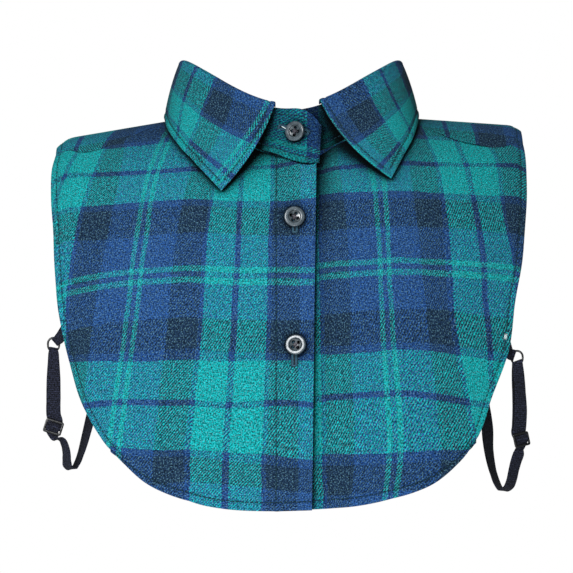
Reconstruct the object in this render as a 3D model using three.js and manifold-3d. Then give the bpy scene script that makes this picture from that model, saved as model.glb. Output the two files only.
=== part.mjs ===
// Dickey: a buttoned shirt collar with a front and a back that lie over the shoulders, and elastic
// side straps. Millimetres, +Z up. The front faces -Y and the origin is the middle of the neck ring.
// "left" and "right" are as seen from the front: left is -X.

import * as THREE from 'three';
import { LoftGeometry } from 'three/addons/geometries/LoftGeometry.js';
import { mergeGeometries, mergeVertices } from 'three/addons/utils/BufferGeometryUtils.js';
import Module from 'manifold-3d';

const wasm = await Module();
wasm.setup();

// Thicknesses of the cloth and the tape, and the clearance between two pieces
const PANEL_THICK = 1.6;
const PLACKET_THICK = 2.6;
const STAND_THICK = 2.4;
const LEAF_THICK = 1.6;
const TAPE_THICK = 1;
const GAP = 0.4;

// The form that the cloth lies on. From the ridge of the shoulders each side curves over by `fall`
// while it goes out by `depth`, which tapers towards the arms; `arc` is the length of that curve.
const CHEST = { depth: 80, taper: 0.45, fall: 88, arc: 128 };
const SHOULDER_BLADES = { depth: 75, taper: 0.35, fall: 70, arc: 114 };
const TAPER_POWER = 2.2;
const TAPER_HALF_WIDTH = 152;
const RIDGE = { neck: 66, drop: 1.2, slope: { left: 0.163, right: 0.06 } };
const SHOULDER_END = { from: 146, reach: 12, droop: 5 };

// Neck ring and collar
const NECK = { halfWidth: 66, front: 66, back: 56 };
const FOLD = { halfWidth: 72.3, front: 60, back: 53 };
const STAND_HEIGHT = 33.5;
const STAND_EXTRA = { height: 3, from: 5, to: 48 };
const STAND_LIFT = 1.7;
const TAB = {
  over: 16.5, under: -14, sag: 9, panelSag: 11.6, lift: 6, corner: 15, roundness: 2.4, from: 11.4,
};
const LAP = (STAND_THICK + 0.5) / 2;
const LAP_TURNS = { underTo: -340, underFrom: -300, overFrom: -60, overTo: -15 };
const UNDER_CORNER_FROM = -352;
const TAB_LIFT_FROM = -6;
const STAND_COLUMNS = { over: 8, round: 26, under: 9, underFrom: -330 };
const STAND_LEVELS = 3;
const ROLL_RADIUS = 1.8;
const ROLL_RISE = 1;
const ROLL_GAP = 0.6;
const LEAF_CLEARANCE = 3.1;
const LEAF_BULGE = { high: 4, low: 3, lessBehind: 0.6, from: 40, to: 75 };
const LEAF_BACK = { halfWidth: 85, depth: 63 };
const LEAF_BACK_TURNS = [-112, -135, -158, -180, -202, -225, -248];
const LEAF_COLUMNS = { front: 12, back: 12 };
const ROLL_STEPS = 4;
const FALL_STEPS = 8;

// Lower edge of the collar leaf: the turn round the neck from the front middle in degrees, where
// that edge lies from the middle and down the chest, and how far the leaf bows towards the front.
const LEAF_EDGE = {
  left: [
    { turn: 8, x: 45.1, drop: 104.9, bow: 6.4 },
    { turn: 22, x: 54.3, drop: 94.6, bow: 5 },
    { turn: 36, x: 63.6, drop: 83.3, bow: 3 },
    { turn: 49, x: 72.8, drop: 68.8, bow: 1.5 },
    { turn: 62, x: 80.6, drop: 49, bow: 0.5 },
    { turn: 76, x: 83.7, drop: 27, bow: 0 },
    { turn: 90, x: 84.5, drop: 4, bow: 0 },
  ],
  right: [
    { turn: 15.4, x: 65.1, drop: 96.2, bow: 8.4 },
    { turn: 27, x: 69.9, drop: 86.3, bow: 6 },
    { turn: 39, x: 74.7, drop: 75.2, bow: 4 },
    { turn: 51, x: 79.8, drop: 62.2, bow: 2 },
    { turn: 63, x: 83.4, drop: 45.1, bow: 0.8 },
    { turn: 76, x: 85.3, drop: 26, bow: 0 },
    { turn: 90, x: 85.5, drop: 4, bow: 0 },
  ],
};

// Outline of the fronts, as distance from the middle and drop from the ridge along the cloth
const SEAM = [
  { x: 63.5, left: 20, right: 20.4 },
  { x: 90, left: 31, right: 42 },
  { x: 108, left: 43, right: 54 },
  { x: 125, left: 51, right: 58 },
  { x: 140, left: 50, right: 58 },
  { x: 158, left: 34, right: 45 },
];
const SIDE_EDGE = [
  { drop: 34, left: 158, right: 154.6 },
  { drop: 52, left: 159.9, right: 156.8 },
  { drop: 70, left: 160, right: 157.6 },
  { drop: 104, left: 157.7, right: 156 },
  { drop: 137, left: 155.9, right: 153 },
  { drop: 168, left: 152.2, right: 147.6 },
  { drop: 199, left: 145.6, right: 143.2 },
  { drop: 232, left: 135, right: 131.4 },
  { drop: 257, left: 121.4, right: 122.4 },
  { drop: 270, left: 111.2, right: 114.4 },
];
const HEM = [
  { x: -17, left: 311.3, right: 311.3 },
  { x: 20, left: 311.9, right: 310.3 },
  { x: 42, left: 310.5, right: 308.6 },
  { x: 62, left: 306.4, right: 304.4 },
  { x: 80, left: 298, right: 298.3 },
  { x: 95, left: 287.5, right: 290 },
  { x: 111, left: 270.2, right: 274.5 },
  { x: 114.4, left: 266, right: 270 },
];
const CORNER_DROP = 270;
const SEAM_START = 63.5;
const PLACKET = { top: -16.5, hem: -13.5, under: -13, stitch: 10 };
const DIP = { from: 17.5, to: 31 };
const PLACKET_LIFT = { out: 4.2, to: 10, reach: 55 };
const UNDER_DROP = PLACKET_THICK + 1.5 * GAP;

// Columns of cloth from the placket to the arm: distance from the middle at the top and at the hem
const FRONT_COLUMNS = [
  { top: -4, hem: -4 },
  { top: 9.9, hem: 9.9 },
  { top: 10.1, hem: 10.1 },
  { top: 17.5, hem: 17.5 },
  { top: 24, hem: 23 },
  { top: 31, hem: 30 },
  { top: 41, hem: 37 },
  { top: 49, hem: 44 },
  { top: 56, hem: 50 },
  { top: 60.5, hem: 54 },
  { top: 63.5, hem: 58 },
  { top: 77, hem: 66 },
  { top: 91, hem: 76 },
  { top: 105, hem: 86 },
  { top: 119, hem: 94 },
  { top: 132, hem: 101 },
  { top: 145, hem: 107 },
];
const FRONT_ROWS = 18;

// Columns of cloth in half of the back. Round the neck they start at a turn, and along the seam at a
// distance from the middle; `out` is how far they bow outwards over the shoulder.
const BACK_NECK_COLUMNS = [
  { turn: 180, hem: 0, out: 0 },
  { turn: 165, hem: 10, out: 0 },
  { turn: 150, hem: 20, out: 0 },
  { turn: 135, hem: 30, out: 0 },
  { turn: 120, hem: 39, out: 0 },
  { turn: 107, hem: 46, out: 1 },
  { turn: 96, hem: 52, out: 4 },
  { turn: 86, hem: 58, out: 8 },
];
const BACK_SEAM_COLUMNS = [
  { top: 63.5, hem: 64, out: 14 },
  { top: 77, hem: 70, out: 7 },
  { top: 91, hem: 76, out: 3 },
  { top: 105, hem: 82, out: 1 },
  { top: 119, hem: 89, out: 0 },
  { top: 132, hem: 95, out: 0 },
  { top: 145, hem: 100, out: 0 },
];
const BACK_BOW_SHARPNESS = 10;
const EDGE_SHARE_POWER = 1.5;
const SEAM_GAP = 0.6;
const BACK_SIDE = [
  { drop: -214, left: 105, right: 105 },
  { drop: -196, left: 121, right: 121 },
  { drop: -176, left: 134, right: 134 },
  { drop: -150, left: 145, right: 144 },
  { drop: -110, left: 152, right: 150 },
  { drop: -60, left: 156, right: 153.5 },
  { drop: 0, left: 158, right: 155.5 },
  { drop: 45, left: 158, right: 156 },
];
const BACK_HEM = [
  { x: 0, drop: 246 },
  { x: 40, drop: 243 },
  { x: 75, drop: 233 },
  { x: 95, drop: 222 },
  { x: 105, drop: 214 },
];
const BACK_ROWS = 18;

// Shirt buttons. The collar button is placed by its turn round the neck and its height on the stand,
// the placket buttons by x and the drop down the cloth; `spin` turns the holes.
const BUTTON = { radius: 6.7, rim: 5.3, well: 4.3, thick: 2.6, dish: 0.7, hole: 0.95, holeApart: 1.65 };
const BUTTON_SEGMENTS = 22;
const HOLE_SEGMENTS = 8;
const SHANK = 1.2;
const COLLAR_BUTTON = { turn: 3, height: 0.52, spin: 10 };
const PLACKET_BUTTONS = [
  { name: 'upper_button', x: 2.3, drop: 121.3, spin: 20 },
  { name: 'lower_button', x: 3.2, drop: 204.6, spin: -15 },
];

// Metal and elastic of the side straps
const RING = { radius: 3.75, wire: 0.55, sides: 6, steps: 16 };
const SLIDER = {
  width: 12.4, pitch: 4.2, bar: 0.45, plate: 0.3, window: 10, corner: 1.2, windowCorner: 0.3,
};
const TAPE_WIDTH = 7;
const TAB_SECTIONS = 24;
const STRAP_SECTIONS = 88;
const LOOP_ANGLES = [90, 45, 0, -45, -90];
const TAB_HEEL = 5.5;
const TAB_SLANT = 1.2;
const STRAP_WIDTH = 9.4;
const LOOP_WIDTH = 3;
const LOOP_RADIUS = RING.wire + 2 * GAP + TAPE_THICK / 2;

// Stations of the strap. The sewn end goes up behind the front layer, round the wire of the ring and
// down again through the slider: how far below the slider's middle bar, how far behind it, how far
// towards the body, and how wide.
const SEWN_LAYER = [
  { below: 1.4, depth: 1.25, towards: 0, width: 9.4 },
  { below: 0, depth: 1.25, towards: 0, width: 9.4 },
  { below: -2, depth: 1.85, towards: 0, width: 9.4 },
  { below: -4.2, depth: 2.75, towards: 0, width: 9.4 },
  { below: -8, depth: 3.3, towards: 0, width: 9.4 },
  { below: -20, depth: 2.85, towards: 0, width: 9.4 },
];
const FRONT_LAYER = [
  { below: -20, depth: 0.3, towards: 0, width: 9.4 },
  { below: -8, depth: 1.15, towards: 0, width: 9.4 },
  { below: -4.2, depth: 1.3, towards: 0, width: 9.4 },
  { below: -2, depth: 0, towards: 0, width: 9.4 },
  { below: 0, depth: -1.3, towards: 0, width: 9.2 },
  { below: 2, depth: 0, towards: 0.3, width: 8.6 },
  { below: 4.2, depth: 1.35, towards: 0.9, width: 7.6 },
  { below: 6, depth: 2.2, towards: 1.8, width: 7 },
];
const NEAR_RING = [
  { below: 18, layer: 1.05, width: 8.8 },
  { below: 7, layer: 1.05, width: 8 },
  { below: 2, layer: LOOP_RADIUS, width: 5.8 },
];

// From the slider the strap hangs in a loop and rises to the back, where its end is sewn on inside.
// Yaw and roll turn its width.
const STRAPS = {
  left: {
    ring: new THREE.Vector3(-157, -39.5, -159.5),
    slider: new THREE.Vector3(-156.5, -39.5, -215),
    sliderTilt: 5,
    tabAngle: 52,
    tabHeel: { x: 144, drop: 169 },
    run: [
      { x: -152.2, y: -36.6, z: -224.2, yaw: -24, roll: 0, width: 7 },
      { x: -149.6, y: -35.2, z: -227.8, yaw: -44, roll: 0, width: 7.6 },
      { x: -148.3, y: -33.2, z: -232, yaw: -56, roll: 0, width: 8.6 },
      { x: -148, y: -30.8, z: -236.3, yaw: -58, roll: 0, width: 9.4 },
      { x: -147.4, y: -28, z: -239.8, yaw: -56, roll: 0, width: 9.4 },
      { x: -145.2, y: -24.5, z: -241.1, yaw: -54, roll: 0, width: 9.4 },
      { x: -142.7, y: -20.7, z: -238.6, yaw: -52, roll: 14, width: 9.4 },
      { x: -140.9, y: -16.5, z: -233.6, yaw: -50, roll: 21, width: 9.4 },
      { x: -139.2, y: -11, z: -227.1, yaw: -46, roll: 25, width: 9.4 },
      { x: -136.6, y: 2, z: -212.3, yaw: -38, roll: 24, width: 9.4 },
      { x: -133.4, y: 17, z: -195.4, yaw: -30, roll: 15, width: 9.4 },
      { x: -128.4, y: 34, z: -177, yaw: -20, roll: 5, width: 9.4 },
      { x: -123.8, y: 48, z: -163, yaw: -10, roll: 0, width: 9.4 },
    ],
    sewn: { x: 121.5, drop: -187, back: 1, rise: 7 },
  },
  right: {
    ring: new THREE.Vector3(149.4, -41, -168.4),
    slider: new THREE.Vector3(151.8, -41, -223.4),
    sliderTilt: -5,
    tabAngle: 128,
    tabHeel: { x: 136.5, drop: 186.6 },
    run: [
      { x: 149.9, y: -38.4, z: -232.6, yaw: 20, roll: 0, width: 7.8 },
      { x: 148.3, y: -37.6, z: -237.4, yaw: 34, roll: 0, width: 8.6 },
      { x: 146.8, y: -36, z: -243.3, yaw: 44, roll: 0, width: 9.4 },
      { x: 145.5, y: -33.4, z: -249.5, yaw: 46, roll: 0, width: 9.4 },
      { x: 143.7, y: -30, z: -253.9, yaw: 46, roll: 0, width: 9.4 },
      { x: 140.7, y: -26, z: -255.6, yaw: 48, roll: 0, width: 9.4 },
      { x: 137.8, y: -21.5, z: -252.6, yaw: 50, roll: -14, width: 9.4 },
      { x: 135.7, y: -15.5, z: -246.1, yaw: 48, roll: -22, width: 9.4 },
      { x: 134, y: -8.5, z: -238.2, yaw: 44, roll: -27, width: 9.4 },
      { x: 132.8, y: 5, z: -223.4, yaw: 36, roll: -27, width: 9.4 },
      { x: 133, y: 19, z: -207.5, yaw: 28, roll: -13, width: 9.4 },
      { x: 129.6, y: 35, z: -184, yaw: 18, roll: 0, width: 9.4 },
      { x: 124.4, y: 48, z: -167, yaw: 9, roll: 0, width: 9.4 },
    ],
    sewn: { x: 121.5, drop: -189, back: 1, rise: 7 },
  },
};

const FLANNEL = { color: 0x1f7178, roughness: 0.92, metalness: 0 };
const ELASTIC = { color: 0x1c1c26, roughness: 0.85, metalness: 0 };
const BLACK_METAL = { color: 0x202228, roughness: 0.35, metalness: 0.7 };
const BUTTON_PLASTIC = { color: 0x3c434a, roughness: 0.3, metalness: 0 };

const { degToRad, lerp, smoothstep } = THREE.MathUtils;
const UP = new THREE.Vector3(0, 0, 1);
const SIGN = { left: -1, right: 1 };
const dickey = new THREE.Group();

function add(name, geometry, finish) {
  const mesh = new THREE.Mesh(geometry, new THREE.MeshStandardMaterial(finish));
  mesh.name = name;
  dickey.add(mesh);
  return mesh;
}

// A smooth curve through the rows of a table, read at a value of its `place` column
function smoothTable(rows, place, columns) {
  const places = rows.map((row) => row[place]);
  const values = rows.flatMap((row) => columns.map((column) => row[column]));
  const curve = new THREE.CubicInterpolant(places, values, columns.length);
  return (value) => {
    const found = curve.evaluate(THREE.MathUtils.clamp(value, places[0], places.at(-1)));
    return Object.fromEntries(columns.map((column, i) => [column, found[i]]));
  };
}

// The form

function ridgeHeight(x) {
  const slope = x < 0 ? RIDGE.slope.left : RIDGE.slope.right;
  const beyondNeck = Math.max(0, Math.abs(x) - RIDGE.neck);
  const atEnd = Math.max(0, Math.abs(x) - SHOULDER_END.from) / SHOULDER_END.reach;
  return -RIDGE.drop - slope * beyondNeck - SHOULDER_END.droop * atEnd ** 2;
}

function formDepth(side, x) {
  return side.depth * (1 - side.taper * (Math.abs(x) / TAPER_HALF_WIDTH) ** TAPER_POWER);
}

// A point of the form: x from the middle, drop down the chest, or down the back where negative
function formPoint(x, drop) {
  const side = drop >= 0 ? CHEST : SHOULDER_BLADES;
  const length = Math.abs(drop);
  const bend = Math.min(length / side.arc, 1) * Math.PI / 2;
  const y = -Math.sign(drop) * formDepth(side, x) * Math.sin(bend);
  const straight = Math.max(0, length - side.arc);
  return new THREE.Vector3(x, y, ridgeHeight(x) - side.fall * (1 - Math.cos(bend)) - straight);
}

function formNormal(x, drop) {
  const step = 0.5;
  const across = formPoint(x + step, drop).sub(formPoint(x - step, drop));
  const down = formPoint(x, drop + step).sub(formPoint(x, drop - step));
  return down.cross(across).normalize();
}

function offForm(x, drop, proud) {
  return formPoint(x, drop).addScaledVector(formNormal(x, drop), proud);
}

// The drop at which the form reaches a depth y
function dropAt(x, y) {
  const side = y <= 0 ? CHEST : SHOULDER_BLADES;
  const sine = Math.min(1, Math.abs(y) / formDepth(side, x));
  return -Math.sign(y) * side.arc * Math.asin(sine) * 2 / Math.PI;
}

// The neckline at a turn in degrees from the front middle, seen from above
function neckPlace(turn) {
  const angle = degToRad(turn);
  const depth = Math.cos(angle) > 0 ? NECK.front : NECK.back;
  const x = NECK.halfWidth * Math.sin(angle);
  return { x, drop: dropAt(x, -depth * Math.cos(angle)) };
}

// A cloth wall is a loft: each column is a loop down the outer face and back up the inner one.
// Seen from outside, the columns run to the right; a strip of cloth closes each end.
function clothWall(columns) {
  const wall = new LoftGeometry(columns.map(({ outer, inner }) => [...outer, ...inner.slice().reverse()]));
  const first = columns[0];
  const last = columns.at(-1);
  const leftEnd = new LoftGeometry([first.inner, first.outer], { closed: false });
  const rightEnd = new LoftGeometry([last.outer, last.inner], { closed: false });
  return mergeGeometries([wall, leftEnd, rightEnd]);
}

const steps = (count) => Array.from({ length: count + 1 }, (_, i) => i / count);

// Fronts

function frontTop(side, distance) {
  if (distance >= SEAM_START) return smoothTable(SEAM, 'x', [side])(distance)[side];
  const turn = THREE.MathUtils.radToDeg(Math.asin(distance / NECK.halfWidth));
  const sag = side === 'left' ? smoothstep(-distance, -TAB.from, TAB.over) : 0;
  return neckPlace(turn).drop + TAB.panelSag * sag;
}

// How far the outer face of a front stands off the form
function frontProud(side, distance, drop) {
  if (side === 'right') {
    const under = 1 - smoothstep(distance, DIP.from, DIP.to);
    return PANEL_THICK / 2 - UNDER_DROP * under;
  }
  const nearEdge = 1 - smoothstep(distance, PLACKET.top, PLACKET_LIFT.to);
  const top = frontTop(side, Math.min(distance, SEAM_START));
  const nearNeck = 1 - smoothstep(drop, top, top + PLACKET_LIFT.reach);
  return PANEL_THICK / 2 + PLACKET_LIFT.out * nearEdge * nearNeck;
}

function frontPanel(side) {
  const edge = smoothTable(SIDE_EDGE, 'drop', [side]);
  const hem = smoothTable(HEM, 'x', [side]);
  const seamEnd = SEAM.at(-1)[side];
  const armTop = edge(seamEnd)[side];
  const armHem = edge(CORNER_DROP)[side];
  const front = side === 'left' ? PLACKET : { top: PLACKET.under, hem: PLACKET.under };
  const places = [
    { top: front.top, hem: front.hem },
    ...FRONT_COLUMNS,
    { top: armTop, hem: armHem },
  ];
  const columns = places.map((place, index) => {
    const atArm = index === places.length - 1;
    const topDrop = atArm ? seamEnd : frontTop(side, place.top);
    const hemDrop = atArm ? CORNER_DROP : hem(place.hem)[side];
    const inPanel = Math.max(0, (place.top - PLACKET.stitch) / (armTop - PLACKET.stitch));
    const share = inPanel ** EDGE_SHARE_POWER;
    const thick = place.top < PLACKET.stitch ? PLACKET_THICK : PANEL_THICK;
    const outer = [];
    const inner = [];
    for (const v of steps(FRONT_ROWS)) {
      const spread = edge(lerp(seamEnd, CORNER_DROP, v))[side] - lerp(armTop, armHem, v);
      const distance = lerp(place.top, place.hem, v) + share * spread;
      const drop = lerp(topDrop, hemDrop, v);
      const proud = frontProud(side, distance, drop);
      outer.push(offForm(SIGN[side] * distance, drop, proud));
      inner.push(offForm(SIGN[side] * distance, drop, proud - thick));
    }
    return { outer, inner };
  });
  return clothWall(side === 'left' ? columns.reverse() : columns);
}

// Back: one piece from shoulder seam to shoulder seam, cut out round the back of the neck

function backPanel() {
  const edge = smoothTable(BACK_SIDE, 'drop', ['left', 'right']);
  const hem = smoothTable(BACK_HEM, 'x', ['drop']);
  const corner = BACK_HEM.at(-1);
  const half = (side) => {
    const seam = smoothTable(SEAM, 'x', [side]);
    const seamEnd = SEAM.at(-1)[side];
    const armTop = edge(seamEnd)[side];
    const places = [
      ...BACK_NECK_COLUMNS.map(({ turn, ...rest }) => {
        const start = neckPlace(turn);
        return { ...rest, top: start.x, topDrop: start.drop };
      }),
      ...BACK_SEAM_COLUMNS.map((row) => ({ ...row, topDrop: seam(row.top)[side] - SEAM_GAP })),
      { top: armTop, hem: corner.x, out: 0, topDrop: seamEnd - SEAM_GAP },
    ];
    return places.map((place) => {
      const share = (place.top / armTop) ** EDGE_SHARE_POWER;
      const outer = [];
      const inner = [];
      for (const v of steps(BACK_ROWS)) {
        const armDrop = lerp(seamEnd, -corner.drop, v);
        const spread = edge(armDrop)[side] - lerp(armTop, corner.x, v);
        const bow = place.out * (1 - (1 - v) ** BACK_BOW_SHARPNESS) * (1 - v);
        const distance = lerp(place.top, place.hem, v) + share * spread + bow;
        const drop = lerp(place.topDrop, -hem(place.hem).drop, v);
        outer.push(offForm(SIGN[side] * distance, drop, PANEL_THICK / 2));
        inner.push(offForm(SIGN[side] * distance, drop, -PANEL_THICK / 2));
      }
      return { outer, inner };
    });
  };
  return clothWall([...half('right').reverse(), ...half('left').slice(1)]);
}

// Collar stand. The running turn goes from the over end at the front, round the neck by the left,
// the back and the right, to the under end, which lies behind the over end.

const overTurn = THREE.MathUtils.radToDeg(Math.asin(TAB.over / NECK.halfWidth));
const underTurn = THREE.MathUtils.radToDeg(Math.asin(TAB.under / NECK.halfWidth)) - 360;

function ellipsePoint(ring, turn) {
  const angle = degToRad(turn);
  const depth = Math.cos(angle) > 0 ? ring.front : ring.back;
  return new THREE.Vector3(ring.halfWidth * Math.sin(angle), -depth * Math.cos(angle), 0);
}

// Degrees round the neck from the front middle, on either side
const fromFront = (turn) => 180 - Math.abs(turn + 180);

function standFrame(turn) {
  const neck = ellipsePoint(NECK, turn);
  const place = neckPlace(turn);
  const seam = formPoint(place.x, place.drop).z;
  const depth = Math.cos(degToRad(turn)) > 0 ? NECK.front : NECK.back;
  const out = new THREE.Vector3(neck.x / NECK.halfWidth ** 2, neck.y / depth ** 2, 0).normalize();
  const over = smoothstep(turn, LAP_TURNS.overFrom, LAP_TURNS.overTo);
  const notUnder = smoothstep(turn, LAP_TURNS.underTo, LAP_TURNS.underFrom);
  const lap = LAP * (over - 1 + notUnder);
  const lift = TAB.lift * smoothstep(turn, TAB_LIFT_FROM, overTurn);
  const sag = TAB.sag * smoothstep(turn, -TAB.from, overTurn);
  const overCorner = turn > 0 ? TAB.corner * (turn / overTurn) ** TAB.roundness : 0;
  const pastCorner = Math.max(0, UNDER_CORNER_FROM - turn) / (UNDER_CORNER_FROM - underTurn);
  const underCorner = TAB.corner * pastCorner ** 2;
  const { height, from, to } = STAND_EXTRA;
  const extra = height * smoothstep(fromFront(turn), from, to);
  const base = neck.clone().addScaledVector(out, lap + lift);
  base.z = seam + STAND_LIFT - sag;
  const top = ellipsePoint(FOLD, turn).addScaledVector(out, lap + lift);
  top.z = seam + STAND_HEIGHT + extra - overCorner - underCorner;
  return { base, top, out };
}

const runningTurns = (from, to, count) => steps(count).map((part) => lerp(from, to, part));

function collarStand() {
  const { over, round, under, underFrom } = STAND_COLUMNS;
  const turns = [
    ...runningTurns(overTurn, LAP_TURNS.overTo, over),
    ...runningTurns(LAP_TURNS.overTo, underFrom, round).slice(1),
    ...runningTurns(underFrom, underTurn, under).slice(1),
  ];
  const columns = turns.map((turn) => {
    const { base, top, out } = standFrame(turn);
    const levels = steps(STAND_LEVELS).map((part) => top.clone().lerp(base, part));
    return {
      outer: levels.map((point) => point.clone().addScaledVector(out, STAND_THICK / 2)),
      inner: levels.map((point) => point.clone().addScaledVector(out, -STAND_THICK / 2)),
    };
  });
  return clothWall(columns.reverse());
}

// Collar leaf: it rises from the top edge of the stand, rolls over and falls outside it

function leafEdge() {
  const rows = [
    ...LEAF_EDGE.left.map((row) => ({ ...row, turn: -row.turn, x: -row.x })),
    ...LEAF_BACK_TURNS.map((turn) => {
      const x = LEAF_BACK.halfWidth * Math.sin(degToRad(turn));
      const y = -LEAF_BACK.depth * Math.cos(degToRad(turn));
      return { turn, x, drop: dropAt(x, y), bow: 0 };
    }),
    ...LEAF_EDGE.right.slice().reverse().map((row) => ({ ...row, turn: row.turn - 360 })),
  ];
  return smoothTable(rows.reverse(), 'turn', ['x', 'drop', 'bow']);
}

function leafSection(turn, edge) {
  const { top, out } = standFrame(turn);
  const ahead = standFrame(turn + Math.sign(turn + 180)).top.sub(top).normalize();
  const root = top.clone().addScaledVector(UP, ROLL_GAP);
  const centre = top.clone().addScaledVector(out, ROLL_RADIUS).addScaledVector(UP, ROLL_RISE);
  const roll = steps(ROLL_STEPS).map((part) => {
    const angle = Math.PI * (1 - part);
    return centre.clone()
      .addScaledVector(out, ROLL_RADIUS * Math.cos(angle))
      .addScaledVector(UP, ROLL_RADIUS * Math.sin(angle));
  });
  const { x, drop, bow } = edge(turn);
  const start = roll.at(-1);
  const end = offForm(x, drop, LEAF_CLEARANCE);
  const { from, to, lessBehind } = LEAF_BULGE;
  const spring = 1 - lessBehind * smoothstep(fromFront(turn), from, to);
  const high = start.clone().lerp(end, 1 / 3)
    .addScaledVector(out, LEAF_BULGE.high * spring).addScaledVector(ahead, bow);
  const low = start.clone().lerp(end, 2 / 3)
    .addScaledVector(out, LEAF_BULGE.low * spring).addScaledVector(ahead, bow);
  const fall = new THREE.CubicBezierCurve3(start, high, low, end);
  return [root, ...roll, ...fall.getPoints(FALL_STEPS).slice(1)];
}

// Outer and inner faces on either side of a middle surface given as columns of points
function thicken(middle, thickness) {
  return middle.map((column, i) => {
    const before = middle[Math.max(0, i - 1)];
    const after = middle[Math.min(middle.length - 1, i + 1)];
    const outer = [];
    const inner = [];
    column.forEach((point, j) => {
      const across = after[j].clone().sub(before[j]);
      const down = column[Math.min(column.length - 1, j + 1)].clone().sub(column[Math.max(0, j - 1)]);
      const normal = down.cross(across).normalize();
      outer.push(point.clone().addScaledVector(normal, thickness / 2));
      inner.push(point.clone().addScaledVector(normal, -thickness / 2));
    });
    return { outer, inner };
  });
}

function collarLeaf() {
  const first = -LEAF_EDGE.left[0].turn;
  const last = LEAF_EDGE.right[0].turn - 360;
  const edge = leafEdge();
  const turns = [
    ...runningTurns(last, -270, LEAF_COLUMNS.front),
    ...runningTurns(-270, -90, LEAF_COLUMNS.back).slice(1),
    ...runningTurns(-90, first, LEAF_COLUMNS.front).slice(1),
  ];
  return clothWall(thicken(turns.map((turn) => leafSection(turn, edge)), LEAF_THICK));
}

// Buttons

function asManifold(geometry) {
  const bare = new THREE.BufferGeometry();
  bare.setAttribute('position', geometry.getAttribute('position'));
  bare.setIndex(geometry.index);
  const merged = mergeVertices(bare, 1e-4);
  return new wasm.Manifold(new wasm.Mesh({
    numProp: 3,
    vertProperties: merged.getAttribute('position').array,
    triVerts: merged.index.array,
  }));
}

function asGeometry(manifold) {
  const { vertProperties, triVerts } = manifold.getMesh();
  const geometry = new THREE.BufferGeometry();
  geometry.setAttribute('position', new THREE.BufferAttribute(vertProperties, 3));
  geometry.setIndex(new THREE.BufferAttribute(triVerts, 1));
  geometry.computeVertexNormals();
  return geometry;
}

// A dished disc with four holes, lying on z = 0 with its face up
function buttonGeometry() {
  const { radius, rim, well, thick, dish, hole, holeApart } = BUTTON;
  const profile = [
    [0, 0], [rim, 0], [radius, thick * 0.35], [radius, thick * 0.65],
    [radius - (radius - rim) / 2, thick], [rim, thick], [well, thick - dish], [0, thick - dish],
  ].map(([r, z]) => new THREE.Vector2(r, z));
  const disc = new THREE.LatheGeometry(profile, BUTTON_SEGMENTS).rotateX(Math.PI / 2);
  let solid = asManifold(disc);
  for (const quarter of [0.5, 1.5, 2.5, 3.5]) {
    const angle = quarter * Math.PI / 2;
    const drill = new THREE.CylinderGeometry(hole, hole, thick * 3, HOLE_SEGMENTS).rotateX(Math.PI / 2)
      .translate(holeApart * Math.SQRT2 * Math.cos(angle), holeApart * Math.SQRT2 * Math.sin(angle), 0);
    solid = solid.subtract(asManifold(drill));
  }
  return asGeometry(solid);
}

function addButton(name, place, facing, spin) {
  const mesh = add(name, buttonGeometry(), BUTTON_PLASTIC);
  mesh.position.copy(place);
  mesh.quaternion.setFromUnitVectors(UP, facing)
    .multiply(new THREE.Quaternion().setFromAxisAngle(UP, degToRad(spin)));
}

// Tape and elastic: a flat band through stations of place, width and direction across

function band(stations, count) {
  const path = new THREE.CatmullRomCurve3(stations.map((s) => s.place), false, 'centripetal');
  const last = stations.length - 1;
  const sections = steps(count).map((part) => {
    const index = Math.min(last - 1, Math.floor(part * last));
    const blend = part * last - index;
    const [a, b] = [stations[index], stations[index + 1]];
    const centre = path.getPoint(part);
    const along = path.getTangent(part);
    const across = a.across.clone().lerp(b.across, blend);
    across.addScaledVector(along, -across.dot(along)).normalize();
    const flat = across.clone().cross(along);
    const half = lerp(a.width, b.width, blend) / 2;
    return [[-1, -1], [1, -1], [1, 1], [-1, 1]].map(([side, face]) => centre.clone()
      .addScaledVector(across, side * half).addScaledVector(flat, face * TAPE_THICK / 2));
  });
  return new LoftGeometry(sections.reverse(), { capStart: true, capEnd: true });
}

// A half turn of band round the wire of a ring; `away` points from the ring's middle to the wire
function wireLoop(wire, away, depth, across) {
  return LOOP_ANGLES.map((angle) => ({
    place: wire.clone()
      .addScaledVector(away, -LOOP_RADIUS * Math.cos(degToRad(angle)))
      .addScaledVector(depth, LOOP_RADIUS * Math.sin(degToRad(angle))),
    across,
    width: LOOP_WIDTH,
  }));
}

const INWARD = new THREE.Vector3(0, 1, 0);

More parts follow.
